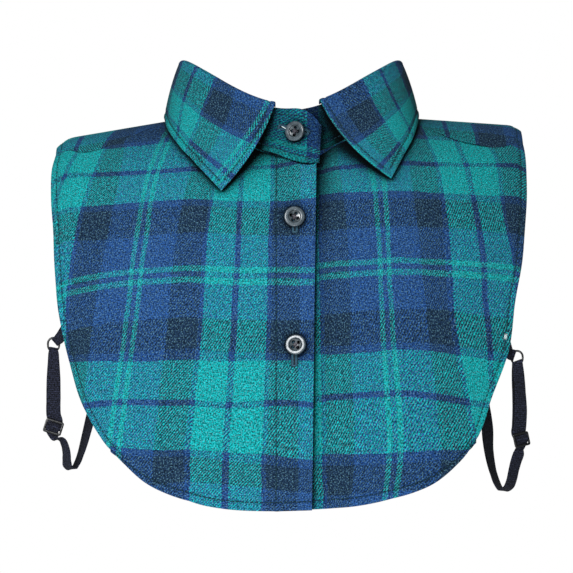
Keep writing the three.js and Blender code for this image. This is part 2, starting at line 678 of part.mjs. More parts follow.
function strapBand(side) {
  const { ring, slider, sliderTilt, run, sewn } = STRAPS[side];
  const down = slider.clone().sub(ring).normalize();
  const across = new THREE.Vector3(1, 0, 0).addScaledVector(down, -down.x).normalize();
  const wire = ring.clone().addScaledVector(down, RING.radius);
  const tilt = degToRad(sliderTilt);
  const bars = new THREE.Vector3(Math.cos(tilt), 0, -Math.sin(tilt));
  const sliderDown = new THREE.Vector3(-Math.sin(tilt), 0, -Math.cos(tilt));
  const atSlider = ({ below, depth, towards, width }) => ({
    place: slider.clone()
      .addScaledVector(sliderDown, below)
      .addScaledVector(INWARD, depth)
      .addScaledVector(bars, -SIGN[side] * towards),
    across: bars,
    width,
  });
  const atRing = ({ below, layer, width }, face) => ({
    place: wire.clone().addScaledVector(down, below).addScaledVector(INWARD, face * layer),
    across,
    width,
  });
  const hanging = ({ x, y, z, yaw, roll, width }) => ({
    place: new THREE.Vector3(x, y, z),
    across: new THREE.Vector3(1, 0, 0)
      .applyAxisAngle(INWARD, -degToRad(roll))
      .applyAxisAngle(UP, degToRad(yaw)),
    width,
  });
  const inside = -PANEL_THICK / 2 - 2 * GAP - TAPE_THICK / 2;
  const sewnEnd = [0, 1].map((part) => {
    const x = SIGN[side] * (sewn.x - part * sewn.back);
    const drop = sewn.drop + part * sewn.rise;
    const along = new THREE.Vector3(-SIGN[side] * sewn.back, 0, sewn.rise);
    return { place: offForm(x, drop, inside), across: formNormal(x, drop).cross(along), width: STRAP_WIDTH };
  });
  return [
    ...SEWN_LAYER.map(atSlider),
    ...NEAR_RING.map((row) => atRing(row, 1)),
    ...wireLoop(wire, down, INWARD, across),
    ...NEAR_RING.slice().reverse().map((row) => atRing(row, -1)),
    ...FRONT_LAYER.map(atSlider),
    ...run.map(hanging),
    ...sewnEnd,
  ];
}

function sliderGeometry() {
  const { width, pitch, bar, plate, window, corner, windowCorner } = SLIDER;
  const rectangle = (shape, w, low, high, r) => {
    shape.moveTo(-w / 2 + r, low);
    shape.lineTo(w / 2 - r, low);
    shape.quadraticCurveTo(w / 2, low, w / 2, low + r);
    shape.lineTo(w / 2, high - r);
    shape.quadraticCurveTo(w / 2, high, w / 2 - r, high);
    shape.lineTo(-w / 2 + r, high);
    shape.quadraticCurveTo(-w / 2, high, -w / 2, high - r);
    shape.lineTo(-w / 2, low + r);
    shape.quadraticCurveTo(-w / 2, low, -w / 2 + r, low);
    return shape;
  };
  const outline = rectangle(new THREE.Shape(), width, -pitch - bar, pitch + bar, corner);
  outline.holes = [-1, 1].map((side) => {
    const low = side < 0 ? -pitch + bar : bar;
    return rectangle(new THREE.Path(), window, low, low + pitch - 2 * bar, windowCorner);
  });
  const options = { depth: 2 * plate, bevelEnabled: false, curveSegments: 3 };
  return new THREE.ExtrudeGeometry(outline, options).translate(0, 0, -plate).rotateX(Math.PI / 2);
}

function tabBand(side) {
  const { ring, tabAngle, tabHeel } = STRAPS[side];
  const angle = degToRad(tabAngle);
  const away = new THREE.Vector3(Math.cos(angle), 0, Math.sin(angle));
  const across = new THREE.Vector3(-Math.sin(angle), 0, Math.cos(angle));
  const wire = ring.clone().addScaledVector(away, RING.radius);
  const inside = -PANEL_THICK / 2 - GAP - TAPE_THICK / 2;
  const heel = (outward, layer) => {
    const x = SIGN[side] * (tabHeel.x + outward);
    const drop = tabHeel.drop + outward * TAB_SLANT;
    const flat = formNormal(x, drop);
    const direction = away.clone().addScaledVector(flat, -away.dot(flat));
    return {
      place: offForm(x, drop, inside - layer),
      across: direction.cross(flat).normalize().multiplyScalar(-1),
      width: TAPE_WIDTH,
    };
  };
  const layers = TAPE_THICK + GAP;
  return [
    heel(0, 0),
    heel(TAB_HEEL, 0),
    ...wireLoop(wire, away, INWARD.clone().negate(), across),
    heel(TAB_HEEL, layers),
    heel(0, layers),
  ];
}

add('front_left', frontPanel('left'), FLANNEL);
add('front_right', frontPanel('right'), FLANNEL);
add('back_panel', backPanel(), FLANNEL);
add('collar_stand', collarStand(), FLANNEL);
add('collar_leaf', collarLeaf(), FLANNEL);

// The collar button sits on the lifted over end of the stand
const onTab = (turn) => {
  const { base, top } = standFrame(turn);
  return base.lerp(top, COLLAR_BUTTON.height);
};
const tabNormal = onTab(COLLAR_BUTTON.turn + 1).sub(onTab(COLLAR_BUTTON.turn - 1)).cross(UP).normalize();
const tabFace = onTab(COLLAR_BUTTON.turn).addScaledVector(tabNormal, STAND_THICK / 2 + SHANK);
addButton('collar_button', tabFace, tabNormal, COLLAR_BUTTON.spin);
for (const { name, x, drop, spin } of PLACKET_BUTTONS) {
  const proud = frontProud('left', -x, drop) + SHANK;
  addButton(name, offForm(x, drop, proud), formNormal(x, drop), spin);
}

for (const side of ['left', 'right']) {
  const { ring, slider, sliderTilt } = STRAPS[side];
  add(side + '_tab', band(tabBand(side), TAB_SECTIONS), ELASTIC);
  const ringShape = new THREE.TorusGeometry(RING.radius, RING.wire, RING.sides, RING.steps)
    .rotateX(Math.PI / 2);
  add(side + '_ring', ringShape, BLACK_METAL).position.copy(ring);
  add(side + '_strap', band(strapBand(side), STRAP_SECTIONS), ELASTIC);
  const sliderMesh = add(side + '_slider', sliderGeometry(), BLACK_METAL);
  sliderMesh.position.copy(slider);
  sliderMesh.rotation.y = degToRad(sliderTilt);
}

export default dickey;
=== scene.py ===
import math

import bmesh
import bpy
import numpy as np
from mathutils import Matrix, Vector


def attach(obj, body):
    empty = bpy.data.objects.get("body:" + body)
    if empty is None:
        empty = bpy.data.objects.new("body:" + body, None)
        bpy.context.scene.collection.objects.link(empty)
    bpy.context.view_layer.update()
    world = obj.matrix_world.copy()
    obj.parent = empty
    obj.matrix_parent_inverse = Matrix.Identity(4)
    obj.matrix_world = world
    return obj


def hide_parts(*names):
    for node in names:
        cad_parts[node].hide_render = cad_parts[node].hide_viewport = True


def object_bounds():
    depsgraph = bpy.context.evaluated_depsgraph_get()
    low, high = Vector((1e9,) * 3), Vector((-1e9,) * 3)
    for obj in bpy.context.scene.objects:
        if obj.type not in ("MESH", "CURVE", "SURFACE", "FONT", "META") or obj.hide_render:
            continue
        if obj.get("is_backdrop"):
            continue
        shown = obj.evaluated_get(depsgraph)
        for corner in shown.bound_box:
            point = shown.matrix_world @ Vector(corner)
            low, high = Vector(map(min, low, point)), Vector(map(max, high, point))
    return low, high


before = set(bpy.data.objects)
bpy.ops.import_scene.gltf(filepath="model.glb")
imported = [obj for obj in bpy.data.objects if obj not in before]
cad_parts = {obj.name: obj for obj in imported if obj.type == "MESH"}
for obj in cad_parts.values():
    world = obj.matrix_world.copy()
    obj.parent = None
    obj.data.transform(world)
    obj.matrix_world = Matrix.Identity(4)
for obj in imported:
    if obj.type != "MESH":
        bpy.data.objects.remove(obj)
cad_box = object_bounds()

# Camera: a long lens 2 m in front of the chest, a little below it and looking up at it.


def in_scene(name, data):
    placed = bpy.data.objects.new(name, data)
    bpy.context.scene.collection.objects.link(placed)
    return placed


camera = in_scene("camera", bpy.data.cameras.new("camera"))
camera.data.lens = 193.3
camera.data.sensor_width = 36
camera.location = (-0.0029, -2.0605, -0.4055)
camera.rotation_euler = (math.radians(98), 0, 0)
bpy.context.scene.camera = camera

# Studio: a pale floor well below the dickey, a plain white room that shows brighter than it lights,
# a soft lamp high in front on the left and a weaker one close in front, just above the floor.

FLOOR_DROP = 0.62
ROOM_LIGHT = 0.28
ROOM_TINT = (0.95, 1, 0.91, 1)
WHITE = (1, 1, 1, 1)
LAMP_COLOUR = (0.96, 0.98, 1)
AIM = (0, -0.06, -0.2)
# Place, size and watts
LAMPS = {
    "high_lamp": ((-0.65, -1.65, 0.4), 0.6, 28),
    "low_lamp": ((0, -0.75, -0.56), 0.25, 3.3),
}


def new_material(name):
    made = bpy.data.materials.new(name)
    made.use_nodes = True
    return made, made.node_tree, made.node_tree.nodes["Principled BSDF"]


def set_constants(node, **values):
    """Numbers on a node's own sockets, whose names are written here with _ for a space."""
    for name, value in values.items():
        node.inputs[name.replace("_", " ")].default_value = value


def join(tree, source, socket):
    if isinstance(source, bpy.types.NodeSocket):
        tree.links.new(source, socket)
    elif source is not None:
        socket.default_value = source


def wired(tree, kind, *sources, **settings):
    """A node with its settings, its sockets in order set to numbers or joined to other nodes."""
    node = tree.nodes.new("ShaderNode" + kind)
    for key, value in settings.items():
        setattr(node, key, value)
    for socket, source in zip(node.inputs, sources):
        join(tree, source, socket)
    return node.outputs[0]


def blended(tree, share, first, second, blend="MIX"):
    node = tree.nodes.new("ShaderNodeMix")
    node.data_type = "RGBA"
    node.blend_type = blend
    for index, source in ((0, share), (6, first), (7, second)):
        join(tree, source, node.inputs[index])
    return node.outputs[2]


def shaded(tree, colour, shade):
    return blended(tree, 1.0, colour, shade, "MULTIPLY")


bpy.context.scene.view_settings.view_transform = "Standard"

floor_mesh = bmesh.new()
bmesh.ops.create_circle(floor_mesh, cap_ends=True, segments=96, radius=5)
bmesh.ops.translate(floor_mesh, verts=floor_mesh.verts, vec=(0, 0, -FLOOR_DROP))
floor = in_scene("floor", bpy.data.meshes.new("floor"))
floor_mesh.to_mesh(floor.data)
floor_mesh.free()
floor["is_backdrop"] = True
floor_paint, _, matt = new_material("pale_floor")
set_constants(matt, Base_Color=(0.86, 0.87, 0.88, 1), Roughness=0.85)
floor.data.materials.append(floor_paint)

world = bpy.data.worlds.new("studio")
world.use_nodes = True
bpy.context.scene.world = world
room = world.node_tree
seen = room.nodes.new("ShaderNodeLightPath").outputs["Is Camera Ray"]
walls = room.nodes["Background"]
join(room, wired(room, "MapRange", seen, 0, 1, ROOM_LIGHT, 1), walls.inputs["Strength"])
join(room, blended(room, seen, ROOM_TINT, WHITE), walls.inputs["Color"])

for lamp_name, (lamp_at, lamp_size, watts) in LAMPS.items():
    lamp = in_scene(lamp_name, bpy.data.lights.new(lamp_name, "AREA"))
    lamp.data.size = lamp_size
    lamp.data.energy = watts
    lamp.data.color = LAMP_COLOUR
    lamp.location = lamp_at
    lamp.rotation_euler = (Vector(AIM) - Vector(lamp_at)).to_track_quat("-Z", "Y").to_euler()

# Left front: one layer of brushed cotton twill cut to the shape of the chest, turned in and
# stitched round its free edges, with a folded placket of three layers along its front edge.
# It lies on the chest, hangs from the shoulder seam and buttons over the right front.

MM = 0.001
# The neck's half width and its depth behind, and the half width of the body. Then, for its front
# and its back: how deep it is, how much of that its sides lose, how far it falls away and over what
# length of cloth. The shoulders' slopes are the left one's and the right one's.
NECK_HALF, NECK_BACK = 66, 56
BODY_HALF = 152
DEPTH, SIDES_LOSE = (80, 75), (0.45, 0.35)
FALL, ARC = (88, 70), (128, 114)
SLOPES = (0.163, 0.06)
PANEL_THICK = 1.6
PLACKET_THICK = 2.6
LAYER_GAP = 0.4
# At a distance from the middle, the drop of the left and of the right shoulder seam
SEAM = [
    (63.5, 20, 20.4), (90, 31, 42), (108, 43, 54), (125, 51, 58), (140, 50, 58), (158, 34, 45),
]
# At a drop, how far out the left and the right side edge are
SIDE_EDGE = [
    (34, 158, 154.6), (52, 159.9, 156.8), (70, 160, 157.6), (104, 157.7, 156), (137, 155.9, 153),
    (168, 152.2, 147.6), (199, 145.6, 143.2), (232, 135, 131.4), (257, 121.4, 122.4),
    (270, 111.2, 114.4),
]
# At a distance from the middle, the drop of the left and of the right hem
HEM = [
    (-17, 311.3, 311.3), (20, 311.9, 310.3), (42, 310.5, 308.6), (62, 306.4, 304.4),
    (80, 298, 298.3), (95, 287.5, 290), (111, 270.2, 274.5), (114.4, 266, 270),
]
CORNER_DROP = 270
SEAM_START = 63.5
# How far from the middle a column of the cloth's points starts and ends
FRONT_COLUMNS = [
    (-4, -4), (9.9, 9.9), (10.1, 10.1), (17.5, 17.5), (24, 23), (31, 30), (41, 37), (49, 44),
    (56, 50), (60.5, 54), (63.5, 58), (77, 66), (91, 76), (105, 86), (119, 94), (132, 101),
    (145, 107),
]
PLACKET_EDGE = (-16.5, -13.5)
UNDER_EDGE = (-13, -13)
# How far in from the edge each line of stitches runs
HEM_STITCH = 5.6
SIDE_STITCH = 3.6
PLACKET_STITCH = 9.5
FROM_HEM = np.array([0, 0.5, 1.3, 2.6, 4, 4.9, 5.3, HEM_STITCH, 5.9, 6.3, 7.4, 9, 11])[:, None]


def curve_through(rows):
    """A smooth curve through rows of a place and its values, read at any place between them."""
    table = np.array(rows, float)
    place, value = table[:, 0], table[:, 1:]
    end = len(place) - 1

    def read(at):
        at = np.clip(np.asarray(at, float), place[0], place[-1])
        i = np.clip(np.searchsorted(place, at, side="right"), 1, end)
        start, stop = place[i - 1], place[i]
        before = np.where(i == 1, stop, place[i - 2])
        after = np.where(i == end, start, place[np.minimum(i + 1, end)])
        v_before = value[np.where(i == 1, i, i - 2)]
        v_after = value[np.where(i == end, i - 1, np.minimum(i + 1, end))]
        half = (stop - start) / 2
        lead = half / (start - before)
        tail = half / (after - stop)
        p = (at - start) / (stop - start)
        weights = (
            -lead * p**3 + 2 * lead * p**2 - lead * p,
            (1 + lead) * p**3 - (1.5 + 2 * lead) * p**2 + (lead - 0.5) * p + 1,
            -(1 + tail) * p**3 + (1.5 + tail) * p**2 + 0.5 * p,
            tail * p**3 - tail * p**2,
        )
        parts = (v_before, value[i - 1], value[i], v_after)
        return sum(w[..., None] * part for w, part in zip(weights, parts))

    return read


def eased(value, start, stop):
    t = np.clip((np.asarray(value, float) - start) / (stop - start), 0, 1)
    return t * t * (3 - 2 * t)


def mixed(a, b, share):
    return a + (b - a) * share


def body_depth(x, front):
    share = (np.abs(x) / BODY_HALF) ** 2.2
    return np.where(front, *DEPTH) * (1 - np.where(front, *SIDES_LOSE) * share)


def form_point(x, drop):
    """A point of the body under the cloth: x from the middle, drop down the chest, or down the
    back where it is negative."""
    front = drop >= 0
    away, length = np.abs(x), np.abs(drop)
    fall, arc = np.where(front, *FALL), np.where(front, *ARC)
    bend = np.minimum(length / arc, 1) * math.pi / 2
    slope = np.where(x < 0, *SLOPES) * np.maximum(0, away - NECK_HALF)
    ridge = -1.2 - slope - 5 * (np.maximum(0, away - 146) / 12) ** 2
    z = ridge - fall * (1 - np.cos(bend)) - np.maximum(0, length - arc)
    return np.stack([x + 0 * z, -np.sign(drop) * body_depth(x, front) * np.sin(bend), z], -1)


def unit(vectors):
    return vectors / np.linalg.norm(vectors, axis=-1, keepdims=True)


def form_normal(x, drop):
    across = form_point(x + 0.5, drop) - form_point(x - 0.5, drop)
    down = form_point(x, drop + 0.5) - form_point(x, drop - 0.5)
    return unit(np.cross(down, across))


def off_form(x, drop, proud):
    x, drop, proud = np.broadcast_arrays(np.asarray(x, float), drop, proud)
    return form_point(x, drop) + form_normal(x, drop) * proud[..., None]


def drop_at(x, y):
    front = y <= 0
    sine = np.minimum(1, np.abs(y) / body_depth(x, front))
    return -np.sign(y) * np.where(front, *ARC) * np.arcsin(sine) * 2 / math.pi


def neck_depth(angle):
    return np.where(np.cos(angle) > 0, NECK_HALF, NECK_BACK)


def neck_place(turn):
    """The neckline at a turn in degrees from the front middle: x and drop."""
    angle = np.radians(turn)
    x = NECK_HALF * np.sin(angle)
    return x, drop_at(x, -neck_depth(angle) * np.cos(angle))


def spaced(start, stop, pitch, lines=()):
    """Places from start to stop, about a pitch apart and closer together at stitched lines."""
    places = list(np.linspace(start, stop, max(2, round(abs(stop - start) / pitch) + 1)))
    for line in lines:
        places = [p for p in places if abs(p - line) > 1.5 or p in (start, stop)]
        places += [line + step for step in (-1.1, -0.55, 0, 0.55, 1.1)]
    return np.array(sorted(places))


def bell(distance, line, width):
    return np.exp(-(((distance - line) / width) ** 2))


def groove(distance, line, depth=0.42, width=0.75):
    return -depth * bell(distance, line, width)


def puckers(along, pitch, distance, line, width, depth, sway=1.3, slow=9):
    """Little waves that a seam draws into cloth, a pitch apart along it, strongest at a line."""
    wave = np.sin(along * 2 * math.pi / pitch + sway * np.sin(along / slow))
    return depth * wave * bell(distance, line, width)


def edge_relief(x, drop, to_hem, to_side, depth):
    """The lines of stitches sunk along a panel's hem and side, with the puckers beside them."""
    return (
        groove(to_hem, HEM_STITCH)
        + groove(to_side, SIDE_STITCH)
        + puckers(x, 9, to_hem, 8, 3.5, depth, slow=7)
        + puckers(drop, 8, to_side, 6, 3, 0.15)
    )


def ripples(x, y, seed):
    """Soft unevenness of hand-ironed cloth, between -1 and 1."""
    dice = np.random.default_rng(seed)
    total = 0 * x
    for _ in range(7):
        angle, length, phase = dice.uniform(0, math.pi), dice.uniform(28, 75), dice.uniform(0, 6.3)
        total = total + np.sin(
            (x * math.cos(angle) + y * math.sin(angle)) * 2 * math.pi / length + phase
        )
    return total / 4


def front_top(side, distance):
    """The drop of a front's upper edge at a distance from the middle: neckline, then seam."""
    at_neck = neck_place(np.degrees(np.arcsin(np.clip(distance / NECK_HALF, -1, 1))))[1]
    if side == 1:
        at_neck = at_neck + 11.6 * eased(-distance, -11.4, 16.5)
    return np.where(
        distance >= SEAM_START, curve_through(SEAM)(distance)[..., side - 1], at_neck
    )


def front_proud(side, distance, drop):
    """How far the outer face of a front stands off the body. Side 1 is the left, 2 the right."""
    if side == 2:
        return PANEL_THICK / 2 - (PLACKET_THICK + 1.5 * LAYER_GAP) * (1 - eased(distance, 17.5, 31))
    near_edge = 1 - eased(distance, PLACKET_EDGE[0], 10)
    top = front_top(1, np.minimum(distance, SEAM_START))
    return PANEL_THICK / 2 + 4.2 * near_edge * (1 - eased(drop, top, top + 55))


def rows_down(top_drop, low_drop, low, rows, way):
    """The drops of a panel's rows, which lie closer over its hem, and how much the hem's slant
    stretches them. way is 1 down the front and -1 down the back."""
    stretch = np.minimum(np.sqrt(1 + np.gradient(low_drop, low) ** 2), 1.7)
    upper_end = low_drop - way * FROM_HEM[-1] * stretch
    upper = mixed(top_drop, upper_end, np.linspace(0, 1, rows)[:-1, None])
    return np.concatenate([upper, low_drop - way * FROM_HEM[::-1] * stretch]), stretch


def front_surface(side):
    """The outer face of a front as rows of points from the shoulder down to the hem, with x and
    drop of each point on the body."""
    sign = -1 if side == 1 else 1
    front_edge = PLACKET_EDGE if side == 1 else UNDER_EDGE
    edge, hem = curve_through(SIDE_EDGE), curve_through(HEM)
    seam_end = SEAM[-1][side]
    arm_top, arm_hem = (float(edge(drop)[side - 1]) for drop in (seam_end, CORNER_DROP))
    stitched = [PLACKET_STITCH] if side == 1 else []
    top = spaced(front_edge[0], arm_top, 1.7, [*stitched, arm_top - SIDE_STITCH])
    low = np.interp(top, *np.array([front_edge, *FRONT_COLUMNS, (arm_top, arm_hem)]).T)
    top_drop, low_drop = front_top(side, top), hem(low)[:, side - 1]
    top_drop[-1], low_drop[-1] = seam_end, CORNER_DROP
    drop, stretch = rows_down(top_drop, low_drop, low, 150, 1)
    v = (drop - top_drop) / (low_drop - top_drop)
    share = np.maximum(0, (top - 10) / (arm_top - 10)) ** 1.5
    spread = edge(mixed(seam_end, CORNER_DROP, v))[..., side - 1] - mixed(arm_top, arm_hem, v)
    distance = mixed(top, low, v) + share * spread
    to_hem = (low_drop - drop) / stretch
    to_side = edge(drop)[..., side - 1] - distance
    x = sign * distance
    proud = front_proud(side, distance, drop) + 0.55 * ripples(x, drop, side) * eased(
        distance, 45, 110
    )
    proud = proud + edge_relief(distance, drop, to_hem, to_side, 0.12)
    if side == 1:
        proud = proud + groove(distance, PLACKET_STITCH, 0.35, 0.7)
        proud = proud + puckers(drop, 11, distance, PLACKET_STITCH, 2.5, 0.1, 1.7, 13)
    rows = {
        "x": x, "drop": drop, "points": off_form(x, drop, proud), "facing": form_normal(x, drop),
        "distance": distance, "to_hem": to_hem, "to_side": to_side,
    }
    if side == 1:
        rows = {key: value[:, ::-1] for key, value in rows.items()}
    return rows


def lay_cloth(name, points, grain, thickness, thick_share=None):
    """A sheet of cloth through rows of points. Its grain, across and down the weave, becomes its
    UV map, and its thickness goes inwards. thick_share lets some of it be thinner."""
    count_down, count_across = points.shape[:2]
    cloth = bmesh.new()
    bmesh.ops.create_grid(cloth, x_segments=count_across - 1, y_segments=count_down - 1, size=1)
    cloth.verts.ensure_lookup_table()
    uv = cloth.loops.layers.uv.new("grain")
    place = {}
    for vert in cloth.verts:
        across = round((vert.co.x + 1) / 2 * (count_across - 1))
        down = round((1 - vert.co.y) / 2 * (count_down - 1))
        place[vert] = (down, across)
    for vert, spot in place.items():
        vert.co = points[spot] * MM
    for face in cloth.faces:
        face.smooth = True
        for loop in face.loops:
            loop[uv].uv = grain[place[loop.vert]] / 100
    order = [place[vert] for vert in cloth.verts]
    sheet = in_scene(name, bpy.data.meshes.new(name))
    cloth.to_mesh(sheet.data)
    cloth.free()
    wall = sheet.modifiers.new("thickness", "SOLIDIFY")
    wall.thickness = thickness * MM
    wall.offset = -1
    if thick_share is not None:
        group = sheet.vertex_groups.new(name="thick")
        for index, spot in enumerate(order):
            group.add([index], float(thick_share[spot]), "REPLACE")
        wall.vertex_group = "thick"
        wall.thickness_vertex_group = 0
    turned = sheet.modifiers.new("turned_edge", "BEVEL")
    turned.width = 0.45 * MM
    turned.segments = 2
    turned.limit_method = "ANGLE"
    turned.angle_limit = math.radians(55)
    return sheet


def where_level(field, level, *grids):
    """Where a measure over the rows of a cloth reaches a level, row by row, read from each grid."""
    found = [[] for _ in grids]
    for i, row in enumerate(field):
        order = slice(None, None, 1 if row[-1] > row[0] else -1)
        at = np.interp(level, row[order], np.arange(len(row))[order])
        before = min(int(at), len(row) - 2)
        for places, grid in zip(found, grids):
            places.append(mixed(grid[i, before], grid[i, before + 1], at - before))
    return [np.array(places) for places in found]


def thread_between(threads, start, stop, facing, thickness, bow=0.0):
    """One thread from start to stop as a slim closed spindle, lifted by bow at its middle."""
    start, stop, facing = Vector(start), Vector(stop), Vector(facing)
    along = stop - start
    length = along.length
    along.normalize()
    across = along.cross(facing).normalized()
    facing = across.cross(along)
    turned = Matrix((across, facing, along)).transposed().to_4x4()
    size = Matrix.Diagonal((thickness / 2, thickness / 2, length / 2, 1))
    place = Matrix.Translation((start + stop) / 2 + facing * bow)
    grown = Matrix.Scale(MM, 4) @ place @ turned @ size @ Matrix.Scale(1 / MM, 4)
    bmesh.ops.create_uvsphere(threads, u_segments=6, v_segments=5, radius=MM, matrix=grown)


def dressed(piece, material, slot, *nodes):
    """A piece with its material, riding on the part's one body in place of the nodes."""
    piece.data.materials.append(material)
    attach(piece, "root")
    if nodes:
        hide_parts(*nodes)
    return piece


def finished(name, mesh, material, slot, *nodes):
    """The dressed object made of a bmesh."""
    for face in mesh.faces:
        face.smooth = True
    made = in_scene(name, bpy.data.meshes.new(name))
    mesh.to_mesh(made.data)
    mesh.free()
    return dressed(made, material, slot, *nodes)


def run_along(line):
    """How far along a line each of its points is."""
    return np.concatenate([[0], np.cumsum(np.linalg.norm(np.diff(line, axis=0), axis=1))])


def sew(threads, line, facing, pitch=3.1, length=2.3, thickness=0.55):
    """A row of machine stitches along a line on cloth, each a short thread sunk into it."""
    run = run_along(line)
    middles = np.arange(pitch, run[-1] - pitch / 2, pitch)
    read = lambda at, grid: np.stack([np.interp(at, run, grid[:, k]) for k in range(3)], -1)
    starts, stops = read(middles - length / 2, line), read(middles + length / 2, line)
    for start, stop, face in zip(starts, stops, read(middles, facing)):
        thread_between(threads, start, stop, face, thickness, 0.12)


def sew_where(threads, measure, level, points, facing, other, clear_of, across=False):
    """Stitches where a measure reaches a level, as far as another measure is clear of its own."""
    grids = [measure, points, facing, other]
    if across:
        grids = [np.swapaxes(grid, 0, 1) for grid in grids]
    line, face, away = where_level(grids[0], level, *grids[1:])
    sew(threads, line[away > clear_of], face[away > clear_of])


def between_lines(lines, table, along, at):
    """How far over the weave a point is, read between the tartan's lines on either side of it. The
    table has the places of all lines at some places along them."""
    places = curve_through(table)(along)
    places = np.maximum.accumulate(places, axis=-1) + 0.01 * np.arange(len(lines))
    values = np.array(lines, float)
    i = (places[..., 1:-1] < at[..., None]).sum(-1)
    low = np.take_along_axis(places, i[..., None], -1)[..., 0]
    high = np.take_along_axis(places, i[..., None] + 1, -1)[..., 0]
    return values[i] + (values[i + 1] - values[i]) * (at - low) / (high - low)


def woven(warp_lines, warp, weft_lines, weft, x, drop):
    """Where in the weave each point of a panel is, across it and down it."""
    across = between_lines(warp_lines, warp, drop, x)
    return np.stack([across, between_lines(weft_lines, weft, x, drop)], -1)


def yarn_stripes(tree, place, stripes):
    """The colour of the yarn at a place across the stripes, which start one after another."""
    node = tree.nodes.new("ShaderNodeValToRGB")
    tree.links.new(place, node.inputs[0])
    ramp = node.color_ramp
    ramp.interpolation = "CONSTANT"
    ramp.elements[0].color = stripes[0][1]
    ramp.elements.remove(ramp.elements[1])
    for start, colour in stripes[1:]:
        ramp.elements.new(start).color = colour
    return node.outputs[0]


def openness(tree, reach, closed, free, darkest):
    """A painted shade to darken a colour where something else lies close within a reach, from
    darkest to 1.
    """
    node = tree.nodes.new("ShaderNodeAmbientOcclusion")
    node.samples = 6
    node.inputs["Distance"].default_value = reach * MM
    return wired(tree, "MapRange", node.outputs["AO"], closed, free, darkest, 1.0)


def bumped(tree, shader, height, strength, depth):
    bump = tree.nodes.new("ShaderNodeBump")
    set_constants(bump, Strength=strength, Distance=depth * MM)
    tree.links.new(height, bump.inputs["Height"])
    tree.links.new(bump.outputs[0], shader.inputs["Normal"])


GREEN = (0.004, 0.235, 0.245, 1)
SMALL_NAVY = (0.009, 0.035, 0.12, 1)
NAVY = (0.013, 0.048, 0.155, 1)
BLACK = (0.008, 0.021, 0.047, 1)
LIGHT = (0.008, 0.22, 0.23, 1)
PALE_FIBRE = (0.16, 0.34, 0.42, 1)
WARP_STRIPES = [
    (0, SMALL_NAVY), (0.0165, GREEN), (0.2365, SMALL_NAVY), (0.2665, BLACK), (0.4765, NAVY),
    (0.6965, LIGHT), (0.7325, NAVY),
]
WEFT_STRIPES = [
    (0, SMALL_NAVY), (0.0195, GREEN), (0.2895, SMALL_NAVY), (0.3495, BLACK), (0.5295, NAVY),
    (0.7695, LIGHT), (0.8115, NAVY),
]
# Half of the tartan's repeat, across and down, in lengths of 100 mm
HALF_REPEAT = (0.7525, 0.831)
# Brushed cotton twill: each stripe of the tartan mirrors about its middle, the weave's diagonals
# show warp and weft in turn, and the raised nap blurs and speckles them
flannel, weave, cotton = new_material("brushed_tartan_twill")
grain_map = weave.nodes.new("ShaderNodeUVMap")
grain_map.uv_map = "grain"
grain_uv = grain_map.outputs[0]


def flat_noise(*settings):
    return wired(weave, "TexNoise", grain_uv, None, *settings, noise_dimensions="2D")


# Yarns wander by up to half a millimetre over 40 mm, and by a fibre's width close up
yarn_place = grain_uv
for scale, coarseness, reach in ((2.6, 0.5, 0.022), (85.0, 0.6, 0.012)):
    flat_noise(scale, 2.0, coarseness)
    shift = weave.nodes[-1].outputs["Color"]
    shift = wired(weave, "VectorMath", shift, (0.5, 0.5, 0.5), operation="SUBTRACT")
    shift = wired(weave, "VectorMath", shift, (reach, reach, 0), operation="MULTIPLY")
    yarn_place = wired(weave, "VectorMath", yarn_place, shift, operation="ADD")
wired(weave, "SeparateXYZ", yarn_place)
yarn_across, yarn_down = weave.nodes[-1].outputs[:2]
warp_place = wired(weave, "Math", yarn_across, HALF_REPEAT[0], operation="PINGPONG")
weft_place = wired(weave, "Math", yarn_down, HALF_REPEAT[1], operation="PINGPONG")
warp = yarn_stripes(weave, warp_place, WARP_STRIPES)
weft = yarn_stripes(weave, weft_place, WEFT_STRIPES)
# Twill diagonals, 2 mm apart across and 2.6 mm down
across_turns = wired(weave, "Math", yarn_across, 314.2, operation="MULTIPLY")
twill_turns = wired(weave, "Math", yarn_down, 241.7, across_turns, operation="MULTIPLY_ADD")
twill = wired(weave, "Math", twill_turns, operation="SINE")
nap = flat_noise(78.0, 1.5, 0.6)
clumps = flat_noise(30.0, 2.0, 0.5)
over = wired(weave, "Math", twill, 1.1, 0.5, operation="MULTIPLY_ADD")
nap_lift = wired(weave, "MapRange", nap, 0.3, 0.7, -0.8, 0.8)
over = wired(weave, "Math", over, nap_lift, operation="ADD", use_clamp=True)
tartan = blended(weave, over, weft, warp)
# Speckle of the nap, with a few pale fibres, and slow variation from wear
speckle = wired(weave, "MapRange", flat_noise(95.0, 1.0, 0.5), 0.32, 0.68, 0.35, 1.75)
patches = wired(weave, "MapRange", clumps, 0.3, 0.7, 0.84, 1.16)
shade = wired(weave, "Math", speckle, patches, operation="MULTIPLY")
tartan = shaded(weave, tartan, shade)
fibres = wired(weave, "MapRange", flat_noise(110.0, 0.0, 0.5), 0.6, 0.82, 0.0, 0.4)
tartan = blended(weave, fibres, tartan, PALE_FIBRE)
# Painted shade: the cloth's colour is darkened where the cloth lies close to itself, within 24 mm
# and within 75 mm
painted_hollow_shade = openness(weave, 24, 0.35, 0.93, 0.05)
painted_hollow_shade = wired(weave, "Math", painted_hollow_shade, openness(weave, 75, 0.5, 1.0, 0.04), operation="MULTIPLY")
tartan = shaded(weave, tartan, painted_hollow_shade)
weave.links.new(tartan, cotton.inputs["Base Color"])
bumped(weave, cotton, wired(weave, "Math", nap, 0.8, over, operation="MULTIPLY_ADD"), 0.5, 0.25)
roughness = wired(weave, "MapRange", nap, 0.3, 0.7, 0.8, 1.0)
weave.links.new(roughness, cotton.inputs["Roughness"])
set_constants(
    cotton, Specular_IOR_Level=0.04, Sheen_Weight=0.03, Sheen_Roughness=0.5,
    Sheen_Tint=(0.6, 0.85, 1, 1),
)
